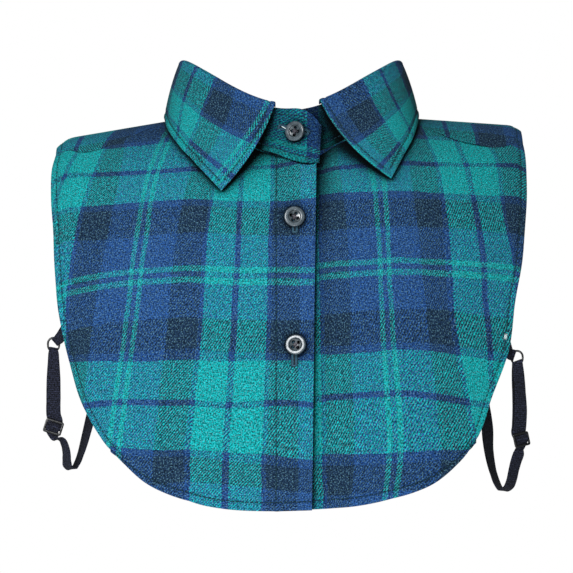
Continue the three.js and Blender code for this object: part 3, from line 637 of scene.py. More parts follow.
# The tartan's lines on the left front: where each is in the weave, then the x of each at some drops
LEFT_WARP_LINES = [
    -150.5, -126.85, -102.85, -80.85, -69.65, -47.65, -26.65, -23.65, -1.65, 1.65, 23.65, 47.65, 57,
]
LEFT_WARP = [
    (20, -135.2, -115.4, -111.7, -77.8, -68.3, -47, -34.4, -33.6, -29.6, -27.8, -11.9, 6, 14.9),
    (45, -142.1, -122.5, -111.2, -84.5, -74.9, -53.7, -39.4, -38.4, -31, -28.9, -12.6, 5.9, 14.6),
    (65, -148.9, -128.9, -111.1, -90.1, -80.2, -59.1, -43.4, -42.3, -32.1, -29.7, -13, 5.8, 14.4),
    (85, -155.7, -135.2, -113.4, -95.6, -85.8, -64.4, -47.5, -46.1, -33.2, -30.6, -13.5, 5.7, 14.2),
    (110, -162.9, -141.6, -118.4, -100.5, -90.6, -71.3, -52.5, -51.1, -34.6, -31.7, -14.2, 5.6,
     13.9),
    (140, -171, -146.7, -124.7, -104.7, -94.7, -76.1, -57.1, -54.7, -36.3, -33.1, -14.9, 5.4, 13.6),
    (170, -179.2, -148.2, -129.4, -108.2, -98.2, -79, -58.9, -56.4, -37.8, -34.4, -15.6, 5.3, 13.2),
    (200, -187.4, -147.7, -132.6, -112, -101.9, -81.7, -60.9, -58.1, -39.4, -35.8, -16.4, 5.1,
     12.8),
    (235, -196.9, -147.2, -135.9, -117.3, -106.5, -85.4, -64.7, -61.1, -41.5, -37.9, -17.6, 4.9,
     12.4),
    (270, -206.5, -146.7, -139.1, -122.8, -110.3, -88.9, -68.8, -64.5, -43.6, -40, -18.9, 4.7,
     11.9),
    (312, -217.9, -146.1, -143, -128.6, -113.6, -89.1, -69.1, -65.5, -45, -41.3, -20, 4.4, 11.4),
]
# and the drop of each at some x. The right front's lines across lie in the same places of the weave
WEFT_LINES = [
    -195.15, -168.15, -164.25, -137.25, -131.25, -113.25, -89.25, -85.05, -81.15, -76.95, -52.95,
    -34.95, -28.95, -1.95, 1.95, 28.95, 34.95, 52.95,
]
LEFT_WEFT = [
    (-162, 39, 64, 70.8, 93.9, 96.6, 116, 144.1, 148.3, 152.1, 155.4, 180.9, 193.4, 197.7, 226.5,
     230.4, 247.2, 253.6, 284),
    (-150, 43.3, 68.1, 73.4, 95.7, 99.2, 118, 143.3, 147.6, 151.2, 154.8, 179.3, 194.5, 198.9, 227,
     230.9, 250.5, 256.6, 284.9),
    (-138, 47.9, 72, 76.4, 97.8, 101.6, 120.1, 143.3, 147.4, 151.1, 154.7, 178, 195.8, 200.5, 227.5,
     231.5, 253.8, 259.5, 285.9),
    (-124, 53.2, 75.7, 79.7, 100, 104.3, 122.3, 144.1, 148, 151.6, 155.4, 178.1, 198, 203.1, 228.4,
     232.5, 257.7, 262.9, 287),
    (-108, 57, 79.3, 83, 102.5, 106.9, 124.6, 145.8, 149.4, 153, 156.9, 179.6, 200.6, 206.4, 231.2,
     235.3, 262.3, 267, 288.2),
    (-90, 59, 82.7, 86.2, 105, 109.3, 126.9, 148.1, 151.4, 155.2, 159, 182.2, 203, 209.9, 235,
     239.1, 267.1, 271.3, 289.7),
    (-70, 60, 85.2, 88.9, 107.4, 111.6, 128.9, 150.4, 153.8, 157.7, 161.4, 185, 205.5, 212.9, 238.5,
     242.6, 270.5, 274.8, 291.7),
    (-45, 61, 88, 91, 109.6, 113.8, 130.8, 152.5, 156.3, 160, 163.9, 187.2, 208.4, 214.8, 240.6,
     244.8, 273, 278.6, 294.1),
    (-20, 59, 86, 89, 110.6, 114.9, 132.1, 153.4, 157.3, 161.1, 165.3, 187.9, 209.8, 215, 240.4,
     244.6, 275, 281.8, 296.6),
    (0, 57, 84, 87, 110.3, 114.4, 132.5, 153.4, 157.2, 161, 165.4, 187.9, 210, 214.6, 240.2, 244.3,
     277.1, 283.5, 298.5),
    (17, 56, 83, 86, 109.1, 112.9, 132.6, 153, 156.6, 160.6, 164.9, 188.4, 210, 214.7, 241.7, 245.4,
     278.8, 284.5, 300.1),
]

left = front_surface(1)
left_front = lay_cloth(
    "left_front",
    left["points"],
    woven(LEFT_WARP_LINES, LEFT_WARP, WEFT_LINES, LEFT_WEFT, left["x"], left["drop"]),
    PLACKET_THICK,
    1 - (1 - PANEL_THICK / PLACKET_THICK) * eased(-left["x"], 9.8, 10.6),
)
dressed(left_front, flannel, "flannel", "front_left")


def fibrous(name, colour, fineness, detail, coarseness, low, high, roughness):
    """A material of fine fibres, each between a low and a high share of the colour."""
    material, tree, shader = new_material(name)
    coords = tree.nodes.new("ShaderNodeTexCoord").outputs["Object"]
    fibres = wired(tree, "TexNoise", coords, None, fineness, detail, coarseness)
    shade = wired(tree, "MapRange", fibres, 0.3, 0.7, low, high)
    join(tree, shaded(tree, colour, shade), shader.inputs["Base Color"])
    set_constants(shader, Roughness=roughness)
    return material, tree, shader, fibres


# The stitches of the left front: dark cotton thread along the hem, the side edge and the placket
thread, twist, spun, strands = fibrous(
    "sewing_thread", (0.004, 0.035, 0.05, 1), 2600.0, 1.0, 0.5, 0.55, 1.5, 0.75
)
bumped(twist, spun, strands, 0.5, 0.1)
set_constants(spun, Specular_IOR_Level=0.3)


def sew_front(rows, placket):
    threads = bmesh.new()
    cloth = (rows["points"], rows["facing"])
    to_hem, to_side = rows["to_hem"], rows["to_side"]
    sew_where(threads, to_side, SIDE_STITCH, *cloth, to_hem, HEM_STITCH)
    sew_where(threads, to_hem, HEM_STITCH, *cloth, to_side, SIDE_STITCH, across=True)
    if placket:
        sew_where(threads, rows["distance"], PLACKET_STITCH, *cloth, to_hem, HEM_STITCH)
    return threads


finished("left_front_stitches", sew_front(left, True), thread, "flannel")

# Right front: the same cloth and edges without a placket. Its front edge runs behind the placket.

RIGHT_WARP_LINES = [
    23.65, 26.65, 47.65, 69.65, 80.85, 102.85, 123.85, 126.85, 148.85, 152.15, 174.15,
]
RIGHT_WARP = [
    (20, 16.8, 19.1, 28, 42, 57.2, 71.5, 81.9, 82.4, 100.6, 105.4, 115.7),
    (45, 17.1, 19.4, 29, 44.6, 59.1, 74.1, 87.1, 88.4, 105.9, 110, 125.7),
    (65, 17.3, 19.6, 29.5, 46.8, 60.6, 76.1, 91.3, 93.1, 110.5, 114, 133.6),
    (85, 17.5, 19.9, 31, 49.9, 62.1, 78.1, 95.6, 98.2, 115.3, 118.6, 137.2),
    (110, 17.8, 20.2, 34.2, 53.7, 63.9, 81, 98.8, 102.4, 120.1, 123.6, 140),
    (140, 18.2, 20.7, 37.4, 55.7, 65.1, 84.1, 100.7, 104.9, 124.2, 127.8, 146.2),
    (170, 18.6, 21.2, 38, 56.6, 66.3, 87.2, 102.6, 106.9, 126.1, 129.5, 148.7),
    (200, 19, 21.7, 38.5, 57.8, 68.4, 90.5, 106.2, 110.1, 128.4, 132, 151.5),
    (235, 19.5, 22.3, 40, 59.9, 71.4, 94.2, 113.5, 117, 131.2, 135, 155),
    (270, 20, 22.8, 40.9, 61.5, 73, 96.9, 118, 122, 135.1, 139.5, 159),
    (312, 20.5, 23.5, 38, 58, 68.5, 97.5, 119, 123, 139, 143.5, 163),
]
RIGHT_WEFT = [
    (-5, 64.7, 89.7, 92.8, 106, 112, 130.8, 151.6, 156.2, 160, 163.4, 185.1, 204.3, 209.7, 237.6,
     242.6, 276.8, 283, 303.9),
    (14, 63.8, 87.8, 91, 105.2, 111, 129.7, 150.4, 154.9, 158.5, 162.2, 184.2, 205, 210.7, 236.9,
     241.6, 275.6, 282.9, 302.6),
    (30, 63, 86.2, 89.6, 104.6, 110, 128.4, 149.4, 153.2, 156.8, 160.8, 183.4, 204.8, 210.7, 236.1,
     240.3, 274.7, 282.4, 301.3),
    (48, 62, 83.8, 87.4, 103.8, 108.8, 126.9, 147.6, 151.2, 154.8, 158.8, 181.8, 203.6, 208.9,
     234.5, 238.4, 274.2, 281.4, 299.7),
    (64, 61.2, 81.8, 85.7, 103, 107.7, 125.6, 146.1, 149.6, 153.3, 157.3, 180.2, 202.2, 207.1,
     233.2, 237.3, 273.2, 280.2, 298.2),
    (80, 59, 80.1, 84.1, 102, 106.6, 124.6, 144.8, 148.4, 152.1, 156, 178.8, 201.2, 205.9, 232.4,
     236.8, 271.3, 278.2, 296.8),
    (98, 57.3, 78.5, 82.1, 101, 105.4, 123.6, 143.9, 147.4, 151.2, 155.1, 177.9, 201, 205.9, 232.6,
     237.2, 268.6, 275.5, 295.4),
    (115, 56.2, 77, 80.2, 100.1, 104.3, 122.8, 143.4, 146.9, 150.5, 154.6, 177.8, 201.4, 206.8,
     233.7, 238.2, 267, 273.6, 294.1),
    (130, 55.2, 75.1, 78.1, 98.9, 103.3, 122.1, 142.9, 146.5, 150.1, 154.3, 178.2, 201.6, 207.8,
     235.3, 239.4, 267.1, 273.4, 293.1),
    (145, 54.3, 71.9, 75.7, 97.1, 102.3, 121, 141.9, 146, 149.7, 153.8, 179.1, 201.7, 208, 236.6,
     240.5, 268.6, 274.6, 292),
    (160, 53.5, 68.2, 72.9, 94.7, 101.1, 119.5, 140.9, 145, 149, 153.2, 180, 201.6, 208.1, 237.6,
     241.5, 270.1, 276, 290.9),
]

right = front_surface(2)
right_front = lay_cloth(
    "right_front",
    right["points"],
    woven(RIGHT_WARP_LINES, RIGHT_WARP, WEFT_LINES, RIGHT_WEFT, right["x"], right["drop"]),
    PANEL_THICK,
)
dressed(right_front, flannel, "flannel", "front_right")
finished("right_front_stitches", sew_front(right, False), thread, "flannel")

# Back: one piece of the same cloth from shoulder seam to shoulder seam, cut out round the back of
# the neck. It comes forward over both shoulders and hangs behind.

BACK_SIDE = [
    (-214, 105, 105), (-196, 121, 121), (-176, 134, 134), (-150, 145, 144), (-110, 152, 150),
    (-60, 156, 153.5), (0, 158, 155.5), (45, 158, 156),
]
BACK_HEM = [(0, 246), (40, 243), (75, 233), (95, 222), (105, 214)]
# From the neckline and the seam to the hem: the turn round the neck or the x at the top, the x at
# the hem, and how far the column bows out
BACK_NECK_COLUMNS = [
    (180, 0, 0), (165, 10, 0), (150, 20, 0), (135, 30, 0), (120, 39, 0), (107, 46, 1), (96, 52, 4),
    (86, 58, 8),
]
BACK_SEAM_COLUMNS = [
    (63.5, 64, 14), (77, 70, 7), (91, 76, 3), (105, 82, 1), (119, 89, 0), (132, 95, 0),
    (145, 100, 0),
]
SEAM_GAP = 0.1


def back_half(side):
    """Half of the back from its middle to the arm: x and drop of each point, and how far each is
    from the hem and from the side edge."""
    edge, hem, seam = curve_through(BACK_SIDE), curve_through(BACK_HEM), curve_through(SEAM)
    seam_end = SEAM[-1][side]
    arm_top = float(edge(seam_end)[side - 1])
    corner_x, corner_drop = BACK_HEM[-1]
    known = [(*map(float, neck_place(turn)), low, out) for turn, low, out in BACK_NECK_COLUMNS]
    for start, low, out in BACK_SEAM_COLUMNS:
        known.append((start, float(seam(start)[side - 1]), low, out))
    known = np.array([*known, (arm_top, seam_end, corner_x, 0)])
    run = run_along(known[:, :2])
    at = spaced(0, run[-1], 2.4, [run[-1] - SIDE_STITCH])
    top, top_drop, low, out = (np.interp(at, run, known[:, k]) for k in range(4))
    top_drop = np.where(top >= SEAM_START, seam(top)[..., side - 1] - SEAM_GAP, top_drop)
    top_drop[-1] = seam_end - SEAM_GAP
    low_drop = -hem(low)[:, 0]
    drop, stretch = rows_down(top_drop, low_drop, low + 1e-3 * np.arange(len(low)), 125, -1)
    v = (drop - top_drop) / (low_drop - top_drop)
    share = (top / arm_top) ** 1.5
    spread = edge(mixed(seam_end, -corner_drop, v))[..., side - 1] - mixed(arm_top, corner_x, v)
    bow = out * (1 - (1 - v) ** 10) * (1 - v)
    distance = mixed(top, low, v) + share * spread + bow
    return distance, drop, (drop - low_drop) / stretch, edge(drop)[..., side - 1] - distance


# Seen from behind, the right half is on the left
back_x, back_drop, back_to_hem, back_to_side = (
    np.concatenate([near[:, ::-1], sign * far[:, 1:]], 1)
    for near, far, sign in zip(back_half(2), back_half(1), (-1, 1, 1, 1))
)
back_proud = PANEL_THICK / 2 + 0.6 * ripples(back_x, back_drop, 5) * eased(-back_drop, 30, 120)
back_proud = back_proud + edge_relief(back_x, back_drop, back_to_hem, back_to_side, 0.15)
BACK_WARP_LINES = [0, 23.65, 47.65, 75.25, 150.5, 225.75, 277.35, 301, 324.65, 348.65]
BACK_WARP = [
    (-250, -141, -120.5, -100, -76, -10.5, 55, 99.5, 120, 140.5, 161),
    (-100, -140, -119, -99, -76, -13.5, 50, 93, 112, 132, 153),
    (-12, -138, -111, -95, -71, -17, 40, 82.5, 101.5, 120, 141),
    (20, -141, -119, -101, -76, -18, 40, 84, 103, 121.5, 142.5),
    (50, -145, -127, -108, -80, -18, 40, 86, 104.5, 123, 144),
]
BACK_WEFT_LINES = [346, 83.1, 76.95, 52.95, 36]
BACK_WEFT = [(-160, -247, 15, 21, 42, 59), (0, -252, 10, 16, 40, 58), (160, -246, 16, 22, 42, 59)]
back_points, back_facing = off_form(back_x, back_drop, back_proud), form_normal(back_x, back_drop)
back = lay_cloth(
    "back",
    back_points,
    woven(BACK_WARP_LINES, BACK_WARP, BACK_WEFT_LINES, BACK_WEFT, back_x, back_drop),
    PANEL_THICK,
)
dressed(back, flannel, "flannel", "back_panel")

back_threads = bmesh.new()
middle = back_x.shape[1] // 2
for half in (slice(0, middle), slice(middle, None)):
    sew_where(
        back_threads, back_to_side[:, half], SIDE_STITCH, back_points[:, half],
        back_facing[:, half], back_to_hem[:, half], HEM_STITCH,
    )
sew_where(
    back_threads, back_to_hem, HEM_STITCH, back_points, back_facing, back_to_side, SIDE_STITCH,
    across=True,
)
finished("back_stitches", back_threads, thread, "flannel")

# Collar stand: an upright band of interlined cloth round the neck, sewn to the top of the fronts
# and the back. At the front its left end laps over its right end and is buttoned to it.

STAND_THICK = 2.4
STAND_HEIGHT = 33
STAND_STITCHES = (4.3, 28.7)
LAP = (STAND_THICK + 0.5) / 2
OVER_TURN = math.degrees(math.asin(16.5 / NECK_HALF))
UNDER_TURN = math.degrees(math.asin(-14 / NECK_HALF)) - 360
UNDER_CORNER = -352
# The half width of the stand's upper edge, and its depth in front and behind
RIM_HALF, RIM_DEPTH = 72.3, (60, 53)
# Painted shade: how much the band's colours are darkened
BAND_SHADE = (0.52, 0.6, 0.62, 1)


def stand_frame(turn):
    """The foot and the top of the stand at a turn round the neck, and the way out from it. The
    turn runs from the over end at the front, by the left, the back and the right, to the under
    end behind it."""
    turn = np.asarray(turn, float)
    angle = np.radians(turn)
    depth = neck_depth(angle)
    neck = np.stack([NECK_HALF * np.sin(angle), -depth * np.cos(angle), 0 * angle], -1)
    seam = form_point(*neck_place(turn))[..., 2]
    out = unit(np.stack([neck[..., 0] / NECK_HALF**2, neck[..., 1] / depth**2, 0 * angle], -1))
    lap = LAP * (eased(turn, -60, -15) - 1 + eased(turn, -340, -300))
    lift = 6 * eased(turn, -6, OVER_TURN)
    sag = 9 * eased(turn, -11.4, OVER_TURN)
    over_corner = np.where(turn > 0, 15 * (np.maximum(turn, 0) / OVER_TURN) ** 2.4, 0)
    under = np.maximum(0, UNDER_CORNER - turn) / (UNDER_CORNER - UNDER_TURN)
    higher_behind = 3 * eased(180 - np.abs(turn + 180), 5, 48)
    base = neck + out * (lap + lift)[..., None]
    base[..., 2] = seam + 1.7 - sag
    rim_depth = np.where(np.cos(angle) > 0, *RIM_DEPTH)
    top = np.stack([RIM_HALF * np.sin(angle), -rim_depth * np.cos(angle), 0 * angle], -1)
    top = top + out * (lap + lift)[..., None]
    top[..., 2] = seam + 33.5 + higher_behind - over_corner - 15 * under**2
    return base, top, out


stand_turns = np.concatenate([
    np.linspace(UNDER_TURN, -330, 26)[:-1], np.linspace(-330, -15, 190)[:-1],
    np.linspace(-15, OVER_TURN, 26),
])
stand_levels = np.array([
    0, 0.02, 0.06, 0.1, 0.13, 0.16, 0.22, 0.3, 0.4, 0.5, 0.6, 0.7, 0.78, 0.84, 0.87, 0.9, 0.94,
    0.98, 1,
])
base, top, out = stand_frame(stand_turns)
levels = stand_levels[:, None, None]
relief = sum(groove(stand_levels * STAND_HEIGHT, line, 0.3, 0.7) for line in STAND_STITCHES)
stand_points = top + (base - top) * levels + out * (STAND_THICK / 2 + relief)[:, None, None]
# Cut along the cloth, so the weft's stripes cross it: green at the button, then thin navy
stand_across = 47.7 + stand_levels * STAND_HEIGHT
stand_along = 28.95 + np.radians(stand_turns - 7.4) * 63.5
stand_grain = np.stack(np.broadcast_arrays(stand_across[:, None], stand_along[None, :]), -1)
stand = lay_cloth("collar_band", stand_points, stand_grain, STAND_THICK)
# The band's cloth is a copy of the flannel with painted shade: its colours are darkened, as the
# band lies in the shade of the collar
band_cloth = flannel.copy()
band_cloth.name = "brushed_tartan_twill_in_painted_shade"
band_weave = band_cloth.node_tree
band_colour = band_weave.nodes["Principled BSDF"].inputs["Base Color"]
band_tartan = band_colour.links[0].from_socket
join(band_weave, shaded(band_weave, band_tartan, BAND_SHADE), band_colour)
dressed(stand, band_cloth, "flannel", "collar_stand")
stand_threads = bmesh.new()
for below_top in STAND_STITCHES:
    line = top + (base - top) * (below_top / STAND_HEIGHT) + out * (STAND_THICK / 2 - 0.3)
    sew(stand_threads, line[3:-3], out[3:-3])
finished("collar_band_stitches", stand_threads, thread, "flannel")

# Collar leaf: the turned-down collar with its two points. It rises from the top of the stand, rolls
# over and falls outside it, and is edge-stitched along its front edges and its lower edge.

LEAF_THICK = 1.6
ROLL_RADIUS = 1.8
ROLL_STEPS = 10
# The turn round the neck, the x and the drop of the lower edge, and how far the leaf bows ahead
LEAF_EDGE_LEFT = [
    (8, 45.1, 104.9, 6.4), (22, 54.3, 94.6, 5), (36, 63.6, 83.3, 3), (49, 72.8, 68.8, 1.5),
    (62, 80.6, 49, 0.5), (76, 83.7, 27, 0), (90, 84.5, 4, 0),
]
LEAF_EDGE_RIGHT = [
    (15.4, 65.1, 96.2, 8.4), (27, 69.9, 86.3, 6), (39, 74.7, 75.2, 4), (51, 79.8, 62.2, 2),
    (63, 83.4, 45.1, 0.8), (76, 85.3, 26, 0), (90, 85.5, 4, 0),
]
LEAF_BACK_TURNS = [-112, -135, -158, -180, -202, -225, -248]
LEAF_BACK_HALF, LEAF_BACK_DEPTH = 85, 63
LEAF_STITCH = 3.9
# How far off the body the middle of the leaf's lower edge lies
LEAF_REST = 3.1

leaf_rows = [(-turn, -x, drop, bow) for turn, x, drop, bow in LEAF_EDGE_LEFT]
for turn in LEAF_BACK_TURNS:
    x = LEAF_BACK_HALF * math.sin(math.radians(turn))
    y = -LEAF_BACK_DEPTH * math.cos(math.radians(turn))
    leaf_rows.append((turn, x, float(drop_at(x, y)), 0))
leaf_rows += [(turn - 360, x, drop, bow) for turn, x, drop, bow in reversed(LEAF_EDGE_RIGHT)]
leaf_edge = curve_through(leaf_rows[::-1])
leaf_first = -LEAF_EDGE_LEFT[0][0]
leaf_last = LEAF_EDGE_RIGHT[0][0] - 360


def leaf_middle(turns, falls):
    """The middle of the leaf's thickness at turns round the neck: up from the stand, over the roll
    and down the fall, which is read at shares of its length."""
    _, top, out = stand_frame(turns)
    ahead = unit(stand_frame(turns + np.sign(turns + 180))[1] - top)
    rows = [top + (0, 0, 0.6)]
    centre, rise = top + out * ROLL_RADIUS + (0, 0, 1), np.array((0, 0, ROLL_RADIUS))
    for angle in np.linspace(math.pi, 0, ROLL_STEPS + 1):
        rows.append(centre + out * ROLL_RADIUS * math.cos(angle) + rise * math.sin(angle))
    x, drop, bow = leaf_edge(turns).T
    start, end = rows[-1], off_form(x, drop, LEAF_REST)
    spring = (1 - 0.6 * eased(180 - np.abs(turns + 180), 40, 75))[:, None]
    high = mixed(start, end, 1 / 3) + out * 4 * spring + ahead * bow[:, None]
    low = mixed(start, end, 2 / 3) + out * 3 * spring + ahead * bow[:, None]
    for t in falls[1:]:
        rows.append(
            start * (1 - t) ** 3 + 3 * high * t * (1 - t) ** 2 + 3 * low * t**2 * (1 - t)
            + end * t**3
        )
    return np.array(rows)


from_point = np.concatenate([np.linspace(0, 0.1, 16)[:-1], np.linspace(0.1, 1, 48)])
leaf_turns = np.concatenate([
    leaf_last + (-270 - leaf_last) * from_point,
    np.linspace(-270, -90, 80)[1:-1],
    (leaf_first + (-90 - leaf_first) * from_point)[::-1],
])
leaf_falls = np.concatenate([np.linspace(0, 0.88, 28)[:-1], np.linspace(0.88, 1, 17)])
leaf_core = leaf_middle(leaf_turns, leaf_falls)
leaf_down = np.gradient(leaf_core, axis=0)
leaf_across = np.gradient(leaf_core, axis=1)
leaf_normal = unit(np.cross(leaf_down, leaf_across))
# How far each point is in from the lower edge and from the nearer front edge
square = np.linalg.norm(np.cross(unit(leaf_down), unit(leaf_across)), axis=-1)
step_down = np.linalg.norm(np.diff(leaf_core, axis=0), axis=-1)
step_across = np.linalg.norm(np.diff(leaf_core, axis=1), axis=-1)
none_across, none_down = np.zeros((len(leaf_core), 1)), np.zeros((1, len(leaf_turns)))
to_low = np.cumsum(np.vstack([none_down, step_down[::-1]]), 0)[::-1] * square
to_right_end = np.cumsum(np.hstack([none_across, step_across]), 1) * square
to_left_end = np.cumsum(np.hstack([none_across, step_across[:, ::-1]]), 1)[:, ::-1] * square
to_end = np.minimum(to_right_end, to_left_end)
to_edge = np.minimum(to_low, to_end)
welt = 0.25 * bell(to_edge, 1.6, 1.3)
leaf_proud = LEAF_THICK / 2 + (groove(to_edge, LEAF_STITCH, 0.4, 0.7) + welt)
leaf_points = leaf_core + leaf_normal * leaf_proud[..., None]
before_fall = len(leaf_core) - len(leaf_falls)
leaf_share = np.concatenate([np.zeros(before_fall), leaf_falls])
LEAF_WARP_LINES = [
    -380.05, -372.45, -348.65, -326.15, -301, -277.35, -23.65, 0, 25.15, 47.65, 71.45, 79.05,
]
LEAF_WARP = [
    (0, -348.5, -344.5, -334.9, -320.6, -307.5, -292, -73.5, -57.4, -41.4, -28.9, -11.5, -6),
    (0.45, -348.6, -344.2, -336, -321.9, -309, -294, -72, -55.9, -41.4, -27.8, -15.6, -10.3),
    (0.8, -348.2, -343.9, -336.3, -321.5, -308.3, -293, -69, -53.2, -42.5, -28.5, -17.4, -12.4),
    (1, -349, -344.6, -336.5, -320.2, -307.5, -292, -68, -52.3, -43, -29, -17.6, -12.8),
]
LEAF_WEFT_LEFT = [(0, 59), (0.1, 52.95), (0.41, 34.95), (0.47, 28.95), (0.83, 0), (1, -9)]
LEAF_WEFT_RIGHT = [(0, 63), (0.2, 52.95), (0.5, 34.95), (0.56, 28.95), (0.86, 0), (1, -9)]
leaf_across_weave = between_lines(
    LEAF_WARP_LINES, LEAF_WARP, leaf_share[:, None], leaf_turns[None, :] + 0 * leaf_share[:, None]
)
leaf_weft = [
    np.interp(leaf_share, *np.array(rows).T)[:, None] for rows in (LEAF_WEFT_LEFT, LEAF_WEFT_RIGHT)
]
leaf_down_weave = mixed(leaf_weft[0], leaf_weft[1], eased(-leaf_turns, 140, 220))
behind = eased(-leaf_turns, 65, 110) * (1 - eased(-leaf_turns, 250, 295))
leaf_down_weave = mixed(leaf_down_weave, (-9 + (1 - leaf_share) * 52)[:, None], behind)
rising = np.cumsum(step_down, axis=0)
leaf_down_weave[:before_fall] += rising[before_fall - 1] - np.concatenate(
    [0 * rising[:1], rising[: before_fall - 1]]
)
leaf_grain = np.stack([leaf_across_weave, leaf_down_weave], -1)
leaf = lay_cloth("collar_fall", leaf_points, leaf_grain, LEAF_THICK)
dressed(leaf, flannel, "flannel", "collar_leaf")
leaf_threads = bmesh.new()
sew_where(
    leaf_threads, to_low, LEAF_STITCH, leaf_points, leaf_normal, to_end, LEAF_STITCH, across=True
)
for to_this_end, columns in ((to_right_end, slice(0, 40)), (to_left_end, slice(-40, None))):
    part = (slice(before_fall, None), columns)
    sew_where(
        leaf_threads, to_this_end[part], LEAF_STITCH, leaf_points[part], leaf_normal[part],
        to_low[part], LEAF_STITCH,
    )
finished("collar_fall_stitches", leaf_threads, thread, "flannel")

# Buttonholes: a horizontal one in the collar band's over end and two upright ones in the placket,
# each a slit with close bars of thread on both sides and across its ends.

hole_thread = fibrous(
    "buttonhole_thread", (0.018, 0.07, 0.115, 1), 1800.0, 2.0, 0.6, 0.4, 1.6, 0.7
)[0]
# Painted shadow: a near-black spindle lies in each buttonhole's slit, standing in for the shade
# inside it
slit_shadow_paint = fibrous("painted_slit_shadow", (0.003, 0.006, 0.01, 1), 1500.0, 2.0, 0.6, 0.3, 1.7, 0.95)[0]


def on_tab(turn, height=0.52):
    foot, rim, _ = stand_frame(turn)
    return foot + (rim - foot) * height


def tab_facing(turn):
    run = on_tab(turn + 1) - on_tab(turn - 1)
    return unit(np.cross(run, (0, 0, 1)))


def on_placket(x, drop, proud):
    return off_form(x, drop, front_proud(1, -x, drop) + proud)


def buttonhole(threads, shadow_spindles, at):
    """Bars of thread about a slit, with a near-black spindle of painted shadow laid in the slit; at
    gives the place and the facing of the cloth along it.
    """
    spots = [at(share) for share in np.linspace(0, 1, 34)]
    for i in range(1, len(spots)):
        (here, facing), before = spots[i], spots[i - 1][0]
        side = unit(np.cross(facing, here - before))
        for sign in (-1, 1):
            inner, outer = here + side * sign * 0.25, here + side * sign * 2.1
            thread_between(threads, inner, outer, facing, 0.55, 0.15)
        if i in (1, 2, len(spots) - 2, len(spots) - 1):
            thread_between(threads, here - side * 2, here + side * 2, facing, 0.6, 0.35)
    thread_between(shadow_spindles, spots[1][0], spots[-2][0], spots[1][1], 0.9, 0.05)


def on_collar(share):
    turn = -7 + 16 * share
    return on_tab(turn, 0.6) + tab_facing(turn) * (STAND_THICK / 2 + 0.05), tab_facing(turn)


hole_threads, shadow_spindles = bmesh.new(), bmesh.new()
buttonhole(hole_threads, shadow_spindles, on_collar)
for x, start, length in ((2.6, 114.5, 16), (2.2, 202, 16)):
    buttonhole(
        hole_threads,
        shadow_spindles,
        lambda share: (
            on_placket(x, start + length * share, 0.05), form_normal(x, start + length * share)
        ),
    )
finished("buttonhole_threads", hole_threads, hole_thread, "flannel")
# Short pale threads: one lies in the collar's buttonhole, and three lie side by side on the right
# front, by the right tape
pale_thread = fibrous("pale_thread", (0.62, 0.72, 0.74, 1), 2200.0, 2.0, 0.6, 0.6, 1.3, 0.6)[0]
pale_pieces = bmesh.new()
ends = [
    on_tab(-3.3 + part * 1.4, 0.6 - 0.02 * part) + tab_facing(-3.3) * (STAND_THICK / 2 + 0.7)
    for part in (-1, 1)
]
thread_between(pale_pieces, *ends, tab_facing(-3.3), 0.75)
for x in (140.2, 140.9, 141.6):
    ends = [off_form(x - part * 0.5, 190.6 + part * 2.2, PANEL_THICK / 2 + 0.1) for part in (-1, 1)]
    thread_between(pale_pieces, *ends, form_normal(x, 190.6), 0.55)
finished("short_pale_threads", pale_pieces, pale_thread, "flannel")
finished("buttonhole_slit_shadows", shadow_spindles, slit_shadow_paint, "flannel")

# Buttons: three dark grey polyester shirt buttons with a rounded rim, a shallow well and four
# holes, polished by tumbling. Crossed threads sew each of them on, over a short shank of thread.

BUTTON_RIM = [
    (5.2, 0), (5.9, 0.2), (6.5, 0.75), (6.7, 1.3), (6.66, 1.9), (6.52, 2.3), (6.3, 2.5),
    (6, 2.56), (5.6, 2.59), (5, 2.6), (4.5, 2.59), (4.25, 2.5), (4.05, 2.2), (3.95, 1.85),
    (3.8, 1.66), (3.6, 1.6),
]
HOLE_RADIUS = 1.2
HOLES_OUT = 2.33
FLOOR = BUTTON_RIM[-1][1]
DISHED = 3.6
SHANK = 1.2

polyester, casting, gloss = new_material("grey_polyester_button")
coords = casting.nodes.new("ShaderNodeTexCoord").outputs["Object"]
swirl = wired(casting, "TexNoise", coords, None, 220.0, 3.0, 0.55)
set_constants(casting.nodes[-1], Distortion=1.2)
swirl = wired(casting, "MapRange", swirl, 0.3, 0.7, 0.0, 1.0)
body = blended(casting, swirl, (0.03, 0.042, 0.052, 1), (0.085, 0.11, 0.13, 1))
# Painted shade: the button's colour is darkened in its well and holes, where other surfaces lie
# close
well = openness(casting, 5, 0.5, 0.98, 0.08)
join(casting, shaded(casting, body, well), gloss.inputs["Base Color"])
scuffs = wired(casting, "TexNoise", coords, None, 600.0, 2.0, 0.5)
scuffed = wired(casting, "MapRange", scuffs, 0.35, 0.75, 0.2, 0.32)
join(casting, scuffed, gloss.inputs["Roughness"])
set_constants(gloss, Specular_IOR_Level=0.55)
bumped(casting, gloss, scuffs, 0.05, 0.1)

button_thread = fibrous(
    "button_thread", (0.05, 0.045, 0.06, 1), 2200.0, 2.0, 0.6, 0.4, 1.9, 0.5
)[0]


def circle(mesh, segments, radius, centre):
    """A circle in a mesh: its corners and its edges, in the same order each run."""
    made = bmesh.ops.create_circle(
        mesh, segments=segments, radius=radius * MM, matrix=Matrix.Translation(centre)
    )
    edges = dict.fromkeys(edge for vert in made["verts"] for edge in vert.link_edges)
    return made["verts"], list(edges)


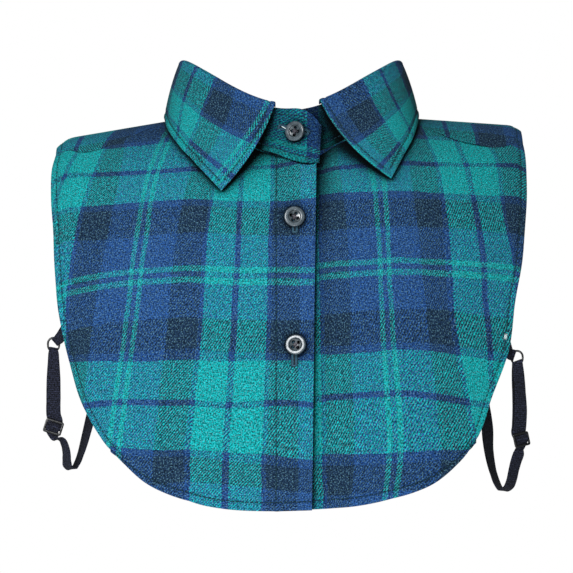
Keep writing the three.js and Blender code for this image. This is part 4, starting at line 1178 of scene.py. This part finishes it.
def button(name, node, place, facing, spin):
    """A button with the middle of its back at a place on its shank, facing away from the cloth."""
    facing = Vector(facing).normalized()
    turned = Vector((0, 0, 1)).rotation_difference(facing).to_matrix().to_4x4()
    spun_round = Matrix.Rotation(math.radians(spin), 4, "Z")
    put = Matrix.Translation(Vector(place) * MM) @ turned @ spun_round
    shape = bmesh.new()
    rim = [shape.verts.new((r * MM, 0, z * MM)) for r, z in BUTTON_RIM]
    edges = [shape.edges.new(pair) for pair in zip(rim, rim[1:])]
    bmesh.ops.spin(
        shape, geom=rim + edges, cent=(0, 0, 0), axis=(0, 0, 1), angle=math.tau, steps=48,
        use_merge=True,
    )
    open_edges = [edge for edge in shape.edges if edge.is_boundary]
    holes = {0: [], FLOOR: []}
    for z in holes:
        for k in range(4):
            angle = math.pi / 4 + k * math.pi / 2
            centre = (HOLES_OUT * MM * math.cos(angle), HOLES_OUT * MM * math.sin(angle), z * MM)
            holes[z].append(circle(shape, 20, HOLE_RADIUS, centre)[1])
    for z, rings in holes.items():
        level = [edge for edge in open_edges if abs(edge.verts[0].co.z - z * MM) < 1e-5]
        level += [edge for ring in rings for edge in ring]
        bmesh.ops.triangle_fill(shape, use_beauty=True, use_dissolve=False, edges=level)
    for low_ring, high_ring in zip(holes[0], holes[FLOOR]):
        bmesh.ops.bridge_loops(shape, edges=low_ring + high_ring)
    bmesh.ops.remove_doubles(shape, verts=shape.verts, dist=1e-6)
    # Its middle is dished a little
    for vert in shape.verts:
        out = math.hypot(vert.co.x, vert.co.y) / MM
        if vert.co.z > (FLOOR - 0.01) * MM and out < DISHED - 0.05:
            vert.co.z -= 0.17 * (DISHED - out) * MM
    bmesh.ops.recalc_face_normals(shape, faces=shape.faces)
    bmesh.ops.transform(shape, matrix=put, verts=shape.verts)
    made = finished(name, shape, polyester, "button", node)
    made.data.set_sharp_from_angle(angle=math.radians(50))
    # Two crossed pairs of threads through the holes, and the shank's six below
    threads = bmesh.new()
    up = Vector((0, 0, 1))
    for k in (0, 1):
        for offset in (-0.26, 0.26):
            angle = math.pi / 4 + k * math.pi / 2
            out = Vector((math.cos(angle), math.sin(angle), 0))
            aside = Vector((-out.y, out.x, 0)) * offset
            over = aside + up * (FLOOR + 0.25 + 0.25 * k)
            thread_between(threads, over - out * 2, over + out * 2, up, 0.48)
            for end in (-1, 1):
                low = out * end * (HOLES_OUT - 0.6) + aside * 0.8
                thread_between(threads, low - up, low + up * (FLOOR + 0.1), out, 0.46)
    for k in range(6):
        angle = k * math.pi / 3
        foot = Vector((math.cos(angle), math.sin(angle), 0)) * 0.8
        below, above = foot - up * (SHANK + 0.6), foot * 1.2 + up * 0.6
        thread_between(threads, below, above, foot, 0.9)
    bmesh.ops.transform(threads, matrix=put, verts=threads.verts)
    finished(name + "_thread", threads, button_thread, "flannel")


collar_facing = Matrix.Rotation(math.radians(-10), 3, "Z") @ Vector(tab_facing(3))
# The lower button hangs a little tilted on its shank
for name, place, facing, spin in (
    ("collar", on_tab(3) + (0, 0, 1.2) + tab_facing(3) * (STAND_THICK / 2 + SHANK),
     collar_facing, 10),
    ("upper", on_placket(2.3, 121.3, SHANK), form_normal(2.3, 121.3), 20),
    ("lower", on_placket(3.2, 204.6, SHANK), (-0.147, -0.98, 0.12), -15),
):
    button(name + "_button_polished", name + "_button", place, facing, spin)

# Elastic and tapes: on each side a short black tape, sewn inside the front's edge, holds a ring. A
# strap of ribbed elastic goes through the ring, through the slider and up to the back's edge.

TAPE_THICK = 1
TAPE_WIDTH = 7
STRAP_WIDTH = 9.4
WIRE = 0.68
RING_RADIUS = 3.75
FOLD_RADIUS = 1.25
TAB_HEEL = 5.5
# The strap's two layers at the slider: how far below its middle, how deep, how far towards the
# front's edge, and the strap's width. Near the ring: how far below it, how deep, and the width
SEWN_LAYER = [
    (1.4, 1.25, 0, 9.4), (0, 1.25, 0, 9.4), (-2, 1.85, 0, 9.4), (-4.2, 2.75, 0, 9.4),
    (-8, 3.3, 0, 9.4),
]
FRONT_LAYER = [
    (-8, 1.15, 0, 9.4), (-4.2, 1.3, 0, 9.4), (-2, 0, 0, 9.4), (0, -1.3, 0, 9.4),
]
NEAR_RING = [(20, 1.2, 9), (11, 1.2, 8), (3, 1.15, 6.9)]
RING_LENGTH = 4.7
SLIDER_THICK = 1.2
# The slider's outline and its two windows: half width, low and high edge, radius of the corners
SLIDER_LOOPS = [(6.2, -4.65, 4.65, 1.4), (4.8, -3.1, -0.6, 0.5), (4.8, 0.6, 3.1, 0.5)]
# "run" is where each strap goes from its slider to the back: x, y, z, its turn about the upright
# and its roll in degrees, and its width
SIDES = {
    "left": {
        "sign": -1, "ring": (-157, -39.5, -159.5), "slider": (-156.5, -39.5, -215), "tilt": 17,
        "yaw": 0, "twist": 8, "fold": (11, 5.8),
        "leaving": [(2, 0, 0, 9.4), (4.2, 1.35, 1.2, 7.4), (6.2, 2, 3, 5.4)],
        "tape_angle": 60, "tape_fold": (41, 2.3, 6), "heel": (143.4, 166.8), "sewn": (121.5, -187),
        "run": [
            (-150.8, -36.8, -223.4, -24, 0, 4.8), (-148.8, -35.3, -227.6, -46, 0, 6.6),
            (-148.1, -33.2, -232, -56, 0, 8.6), (-148, -30.8, -236.3, -58, 0, 9.4),
            (-147.4, -28, -239.8, -56, 0, 9.4), (-145.2, -24.5, -241.1, -54, 0, 9.4),
            (-142.7, -20.7, -238.6, -52, 14, 9.4), (-140.9, -16.5, -233.6, -50, 21, 9.4),
            (-139.2, -11, -227.1, -46, 25, 9.4), (-136.6, 2, -212.3, -38, 24, 9.4),
            (-133.4, 17, -195.4, -30, 15, 9.4), (-128.4, 34, -177, -20, 5, 9.4),
            (-123.8, 48, -163, -10, 0, 9.4),
        ],
    },
    "right": {
        "sign": 1, "ring": (149.4, -41, -168.4), "slider": (151.8, -41, -223.4), "tilt": -14,
        "yaw": 30, "twist": 38, "fold": (-18, 6.8),
        "leaving": [(2, 0, 0.3, 8.6), (4.2, 1.35, 0.9, 7.4), (6, 2.2, 1.8, 6.4)],
        "tape_angle": 128, "tape_fold": (161, 3.1, 7.4), "heel": (136.5, 186.6),
        "sewn": (121.5, -189),
        "run": [
            (149.9, -38.4, -232.6, 20, 0, 7.8), (148.3, -37.6, -237.4, 34, 0, 8.6),
            (146.8, -36, -243.3, 44, 0, 9.4), (145.5, -33.4, -249.5, 46, 0, 9.4),
            (143.7, -30, -253.9, 46, 0, 9.4), (140.7, -26, -255.6, 48, 0, 9.4),
            (137.8, -21.5, -252.6, 50, -14, 9.4), (135.7, -15.5, -246.1, 48, -22, 9.4),
            (134, -8.5, -238.2, 44, -27, 9.4), (132.8, 5, -223.4, 36, -27, 9.4),
            (133, 19, -207.5, 28, -13, 9.4), (129.6, 35, -184, 18, 0, 9.4),
            (124.4, 48, -167, 9, 0, 9.4),
        ],
    },
}

elastic, knit, rubber = new_material("black_ribbed_elastic")
knit_map = knit.nodes.new("ShaderNodeUVMap")
knit_map.uv_map = "grain"
wired(knit, "SeparateXYZ", knit_map.outputs[0])
knit_across, knit_along = knit.nodes[-1].outputs[:2]
# Lengthwise cords 1.1 mm apart, crossed by picks of yarn 1.3 mm apart
cords = wired(knit, "Math", knit_across, 571.0, operation="MULTIPLY")
cords = wired(knit, "Math", cords, operation="SINE")
picks = wired(knit, "Math", knit_along, 483.0, operation="MULTIPLY")
picks = wired(knit, "Math", picks, operation="SINE")
ribs = wired(knit, "Math", cords, 0.45, picks, operation="MULTIPLY_ADD")
dust = wired(knit, "TexNoise", knit_map.outputs[0], None, 90.0, 2.0, 0.6, noise_dimensions="2D")
rib_shade = wired(knit, "MapRange", ribs, -1.3, 1.3, 0.4, 1.6)
dust_shade = wired(knit, "MapRange", dust, 0.34, 0.68, 0.05, 2.9)
yarn_and_painted_shade = wired(knit, "Math", rib_shade, dust_shade, operation="MULTIPLY")
# Painted shade: the elastic's colour is darkened where its layers, the ring and the slider lie
# close to it
between = openness(knit, 5, 0.4, 0.95, 0.1)
yarn_and_painted_shade = wired(knit, "Math", yarn_and_painted_shade, between, operation="MULTIPLY")
yarn_colour = shaded(knit, (0.0075, 0.0085, 0.0165, 1), yarn_and_painted_shade)
join(knit, yarn_colour, rubber.inputs["Base Color"])
bumped(knit, rubber, ribs, 0.7, 0.2)
set_constants(rubber, Roughness=0.8, Specular_IOR_Level=0.15, Sheen_Weight=0.02)

metal, coat, paint = new_material("black_coated_metal")
coords = coat.nodes.new("ShaderNodeTexCoord").outputs["Object"]
wear = wired(coat, "TexNoise", coords, None, 350.0, 3.0, 0.6)
worn = wired(coat, "MapRange", wear, 0.66, 0.8, 0.0, 0.6)
coated = blended(coat, worn, (0.004, 0.004, 0.006, 1), (0.02, 0.02, 0.024, 1))
join(coat, coated, paint.inputs["Base Color"])
join(coat, wired(coat, "MapRange", wear, 0.3, 0.7, 0.2, 0.34), paint.inputs["Roughness"])
set_constants(paint, Specular_IOR_Level=0.5)


def smooth_run(stations, pieces):
    """Points, directions, way across and width along a band through its stations."""
    places, sides, widths = (np.array(column, float) for column in zip(*stations))
    padded = np.vstack([2 * places[0] - places[1], places, 2 * places[-1] - places[-2]])
    points, side, width = [], [], []
    for i in range(len(places) - 1):
        a, b, c, d = padded[i : i + 4]
        before, here, after = (np.linalg.norm(q - p) ** 0.5 for p, q in ((a, b), (b, c), (c, d)))
        leave = ((b - a) / before - (c - a) / (before + here) + (c - b) / here) * here
        arrive = ((c - b) / here - (d - b) / (here + after) + (d - c) / after) * here
        for t in np.linspace(0, 1, pieces + 1)[: None if i == len(places) - 2 else -1]:
            points.append(
                b + leave * t + (3 * (c - b) - 2 * leave - arrive) * t**2
                + (2 * (b - c) + leave + arrive) * t**3
            )
            side.append(mixed(sides[i], sides[i + 1], t))
            width.append(mixed(widths[i], widths[i + 1], t))
    points = np.array(points)
    along = unit(np.gradient(points, axis=0))
    side = np.array(side)
    side = unit(side - along * (side * along).sum(-1, keepdims=True))
    return points, along, side, np.array(width)


def band(name, stations, pieces, node):
    points, along, side, width = smooth_run(stations, pieces)
    flat = np.cross(along, side)
    shares = np.linspace(-0.5, 0.5, 9)
    crown = 0.12 * (1 - (2 * shares) ** 4)
    surface = (
        points[:, None]
        + side[:, None] * (shares[:, None] * width[:, None, None])
        + flat[:, None] * (TAPE_THICK / 2 + crown)[:, None]
    )
    across, along = shares[None, :] * STRAP_WIDTH, run_along(points)[:, None]
    grain = np.stack(np.broadcast_arrays(across, along), -1)
    dressed(lay_cloth(name, surface, grain, TAPE_THICK), elastic, "elastic", node)


def ring_fold(middle, away, depth, side, out, width):
    """A band's half turn in a ring: in over the wire on one face and out on the other."""
    rows = []
    for angle in (90, 60, 30, 0, -30, -60, -90):
        turn = math.radians(angle)
        place = middle + away * (out - FOLD_RADIUS * math.cos(turn))
        rows.append((place + depth * FOLD_RADIUS * math.sin(turn), side, width))
    return rows


def turned_about(vector, axis, degrees):
    return np.array(Matrix.Rotation(math.radians(degrees), 3, axis) @ Vector(vector))


INWARD = np.array((0.0, 1, 0))
for side_name, place in SIDES.items():
    sign, ring, slider = place["sign"], np.array(place["ring"]), np.array(place["slider"])
    # The tape, folded through the ring
    turn = math.radians(place["tape_angle"])
    away = np.array((math.cos(turn), 0, math.sin(turn)))
    under_cloth = -PANEL_THICK / 2 - LAYER_GAP - TAPE_THICK / 2

    def heel(outward, layer):
        x, drop = sign * (place["heel"][0] + outward), place["heel"][1] + outward * 1.2
        facing = form_normal(x, drop)
        direction = away - facing * (away @ facing)
        across_tape = -unit(np.cross(direction, facing))
        return off_form(x, drop, under_cloth - layer), across_tape, TAPE_WIDTH

    fold_angle, fold_out, fold_width = place["tape_fold"]
    turn = math.radians(fold_angle)
    to_tape = np.array((math.cos(turn), 0, math.sin(turn)))
    aside = np.array((-math.sin(turn), 0, math.cos(turn)))
    over_wire = ring + to_tape * (RING_RADIUS + 1.2)
    tape = [heel(0, 0), heel(TAB_HEEL, 0), (over_wire - INWARD * 1.2, aside, TAPE_WIDTH)]
    tape += ring_fold(ring, to_tape, -INWARD, aside, fold_out, fold_width)
    tape += [(over_wire + INWARD * 1.2, aside, TAPE_WIDTH), heel(TAB_HEEL, 1.4), heel(0, 1.4)]
    band(side_name + "_tape", tape, 6, side_name + "_tab")
    # The elastic
    down = unit(slider - ring)
    across = unit(np.array((1, 0, 0)) - down * down[0])
    tilt = math.radians(place["tilt"])
    bar_way = turned_about((math.cos(tilt), 0, -math.sin(tilt)), "Z", place["yaw"])
    slider_down = turned_about((-math.sin(tilt), 0, -math.cos(tilt)), "Z", place["yaw"])
    slider_in = turned_about(INWARD, "Z", place["yaw"])

    def twisted(below, layer, width):
        """A station below the ring, where the doubled strap turns edgewise towards its middle."""
        turn = place["twist"] * math.sin(math.pi * min(below / 44, 1))
        way, into = turned_about(across, "Z", turn), turned_about(INWARD, "Z", turn)
        return ring + down * (RING_RADIUS + below) + into * layer, way, width

    def at_slider(below, depth, towards, width):
        above = below < -5
        way = turned_about(across, "Z", place["yaw"]) if above else bar_way
        spot = slider + (down if above else slider_down) * below + slider_in * depth
        return spot - way * sign * towards, way, width

    stations = [at_slider(*row) for row in SEWN_LAYER]
    stations.append(twisted(32, 1.5, 9.4))
    stations += [twisted(*row) for row in NEAR_RING]
    slant, fold_width = place["fold"]
    slanted = turned_about(across, "Y", slant)
    stations += ring_fold(ring, down, INWARD, slanted, RING_LENGTH - 0.25, fold_width)
    stations += [twisted(below, -layer, width) for below, layer, width in reversed(NEAR_RING)]
    stations.append(twisted(32, -0.9, 9.4))
    stations += [at_slider(*row) for row in FRONT_LAYER + place["leaving"]]
    for x, y, z, yaw, roll, width in place["run"]:
        way = turned_about(turned_about((1, 0, 0), "Y", -roll), "Z", yaw)
        stations.append((np.array((x, y, z)), way, width))
    for part in (0, 1):
        x, drop = sign * (place["sewn"][0] - part), place["sewn"][1] + 7 * part
        way = np.cross(form_normal(x, drop), (-sign, 0, 7))
        spot = off_form(x, drop, -PANEL_THICK / 2 - 2 * LAYER_GAP - 0.5)
        stations.append((spot, way, STRAP_WIDTH))
    band(side_name + "_elastic", stations, 7, side_name + "_strap")
    # The ring
    wire = bmesh.new()
    section, loop = circle(wire, 14, WIRE, (RING_RADIUS * MM, 0, 0))
    bmesh.ops.spin(
        wire, geom=section + loop, cent=(0, 0, 0), axis=(0, 1, 0), angle=math.tau, steps=48,
        use_merge=True,
    )
    bmesh.ops.recalc_face_normals(wire, faces=wire.faces)
    # It is drawn out below into a D, where the strap lies
    for vert in wire.verts:
        low, wide = vert.co.dot(Vector(down)) / MM, vert.co.dot(Vector(across)) / MM
        if low > 0:
            out = math.hypot(low, wide)
            reach = abs(wide / out / RING_RADIUS) ** 3 + (low / out / RING_LENGTH) ** 3
            longer = (reach ** (-1 / 3) - RING_RADIUS) / out * MM
            vert.co += (Vector(down) * low + Vector(across) * wide) * longer
    bmesh.ops.translate(wire, verts=wire.verts, vec=Vector(ring) * MM)
    finished(side_name + "_wire_ring", wire, metal, "black_metal", side_name + "_ring")
    # The slider: a plate with two windows, its edges rounded
    plate = bmesh.new()
    loops = []
    for half_wide, low, high, radius in SLIDER_LOOPS:
        corners = []
        for cx, cz, start in (
            (half_wide - radius, high - radius, 0), (radius - half_wide, high - radius, 90),
            (radius - half_wide, low + radius, 180), (half_wide - radius, low + radius, 270),
        ):
            for step in range(7):
                turn = math.radians(start + 15 * step)
                x, z = cx + radius * math.cos(turn), cz + radius * math.sin(turn)
                corners.append(plate.verts.new((x * MM, 0, z * MM)))
        loops += [plate.edges.new(pair) for pair in zip(corners, corners[1:] + corners[:1])]
    flat_plate = bmesh.ops.triangle_fill(plate, use_beauty=True, use_dissolve=True, edges=loops)
    bmesh.ops.translate(plate, verts=plate.verts, vec=(0, -SLIDER_THICK / 2 * MM, 0))
    faces = [item for item in flat_plate["geom"] if isinstance(item, bmesh.types.BMFace)]
    pushed = bmesh.ops.extrude_face_region(plate, geom=faces, use_keep_orig=True)
    moved = [item for item in pushed["geom"] if isinstance(item, bmesh.types.BMVert)]
    bmesh.ops.translate(plate, verts=moved, vec=(0, SLIDER_THICK * MM, 0))
    bmesh.ops.recalc_face_normals(plate, faces=plate.faces)
    rims = [
        edge for edge in plate.edges
        if edge.is_manifold and abs(edge.verts[0].co.y - edge.verts[1].co.y) < 1e-7
        and edge.calc_face_angle() > 1
    ]
    bmesh.ops.bevel(
        plate, geom=rims, offset=0.42 * MM, segments=4, affect="EDGES", profile=0.5, material=-1
    )
    yaw = Matrix.Rotation(math.radians(place["yaw"]), 4, "Z")
    turned = Matrix.Translation(Vector(slider) * MM) @ yaw @ Matrix.Rotation(tilt, 4, "Y")
    bmesh.ops.transform(plate, matrix=turned, verts=plate.verts)
    made = finished(side_name + "_strap_slider", plate, metal, "black_metal", side_name + "_slider")
    made.data.set_sharp_from_angle(angle=math.radians(40))

low, high = cad_box
now_low, now_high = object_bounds()
{"cad": [list(low), list(high)], "visual": [list(now_low), list(now_high)]}
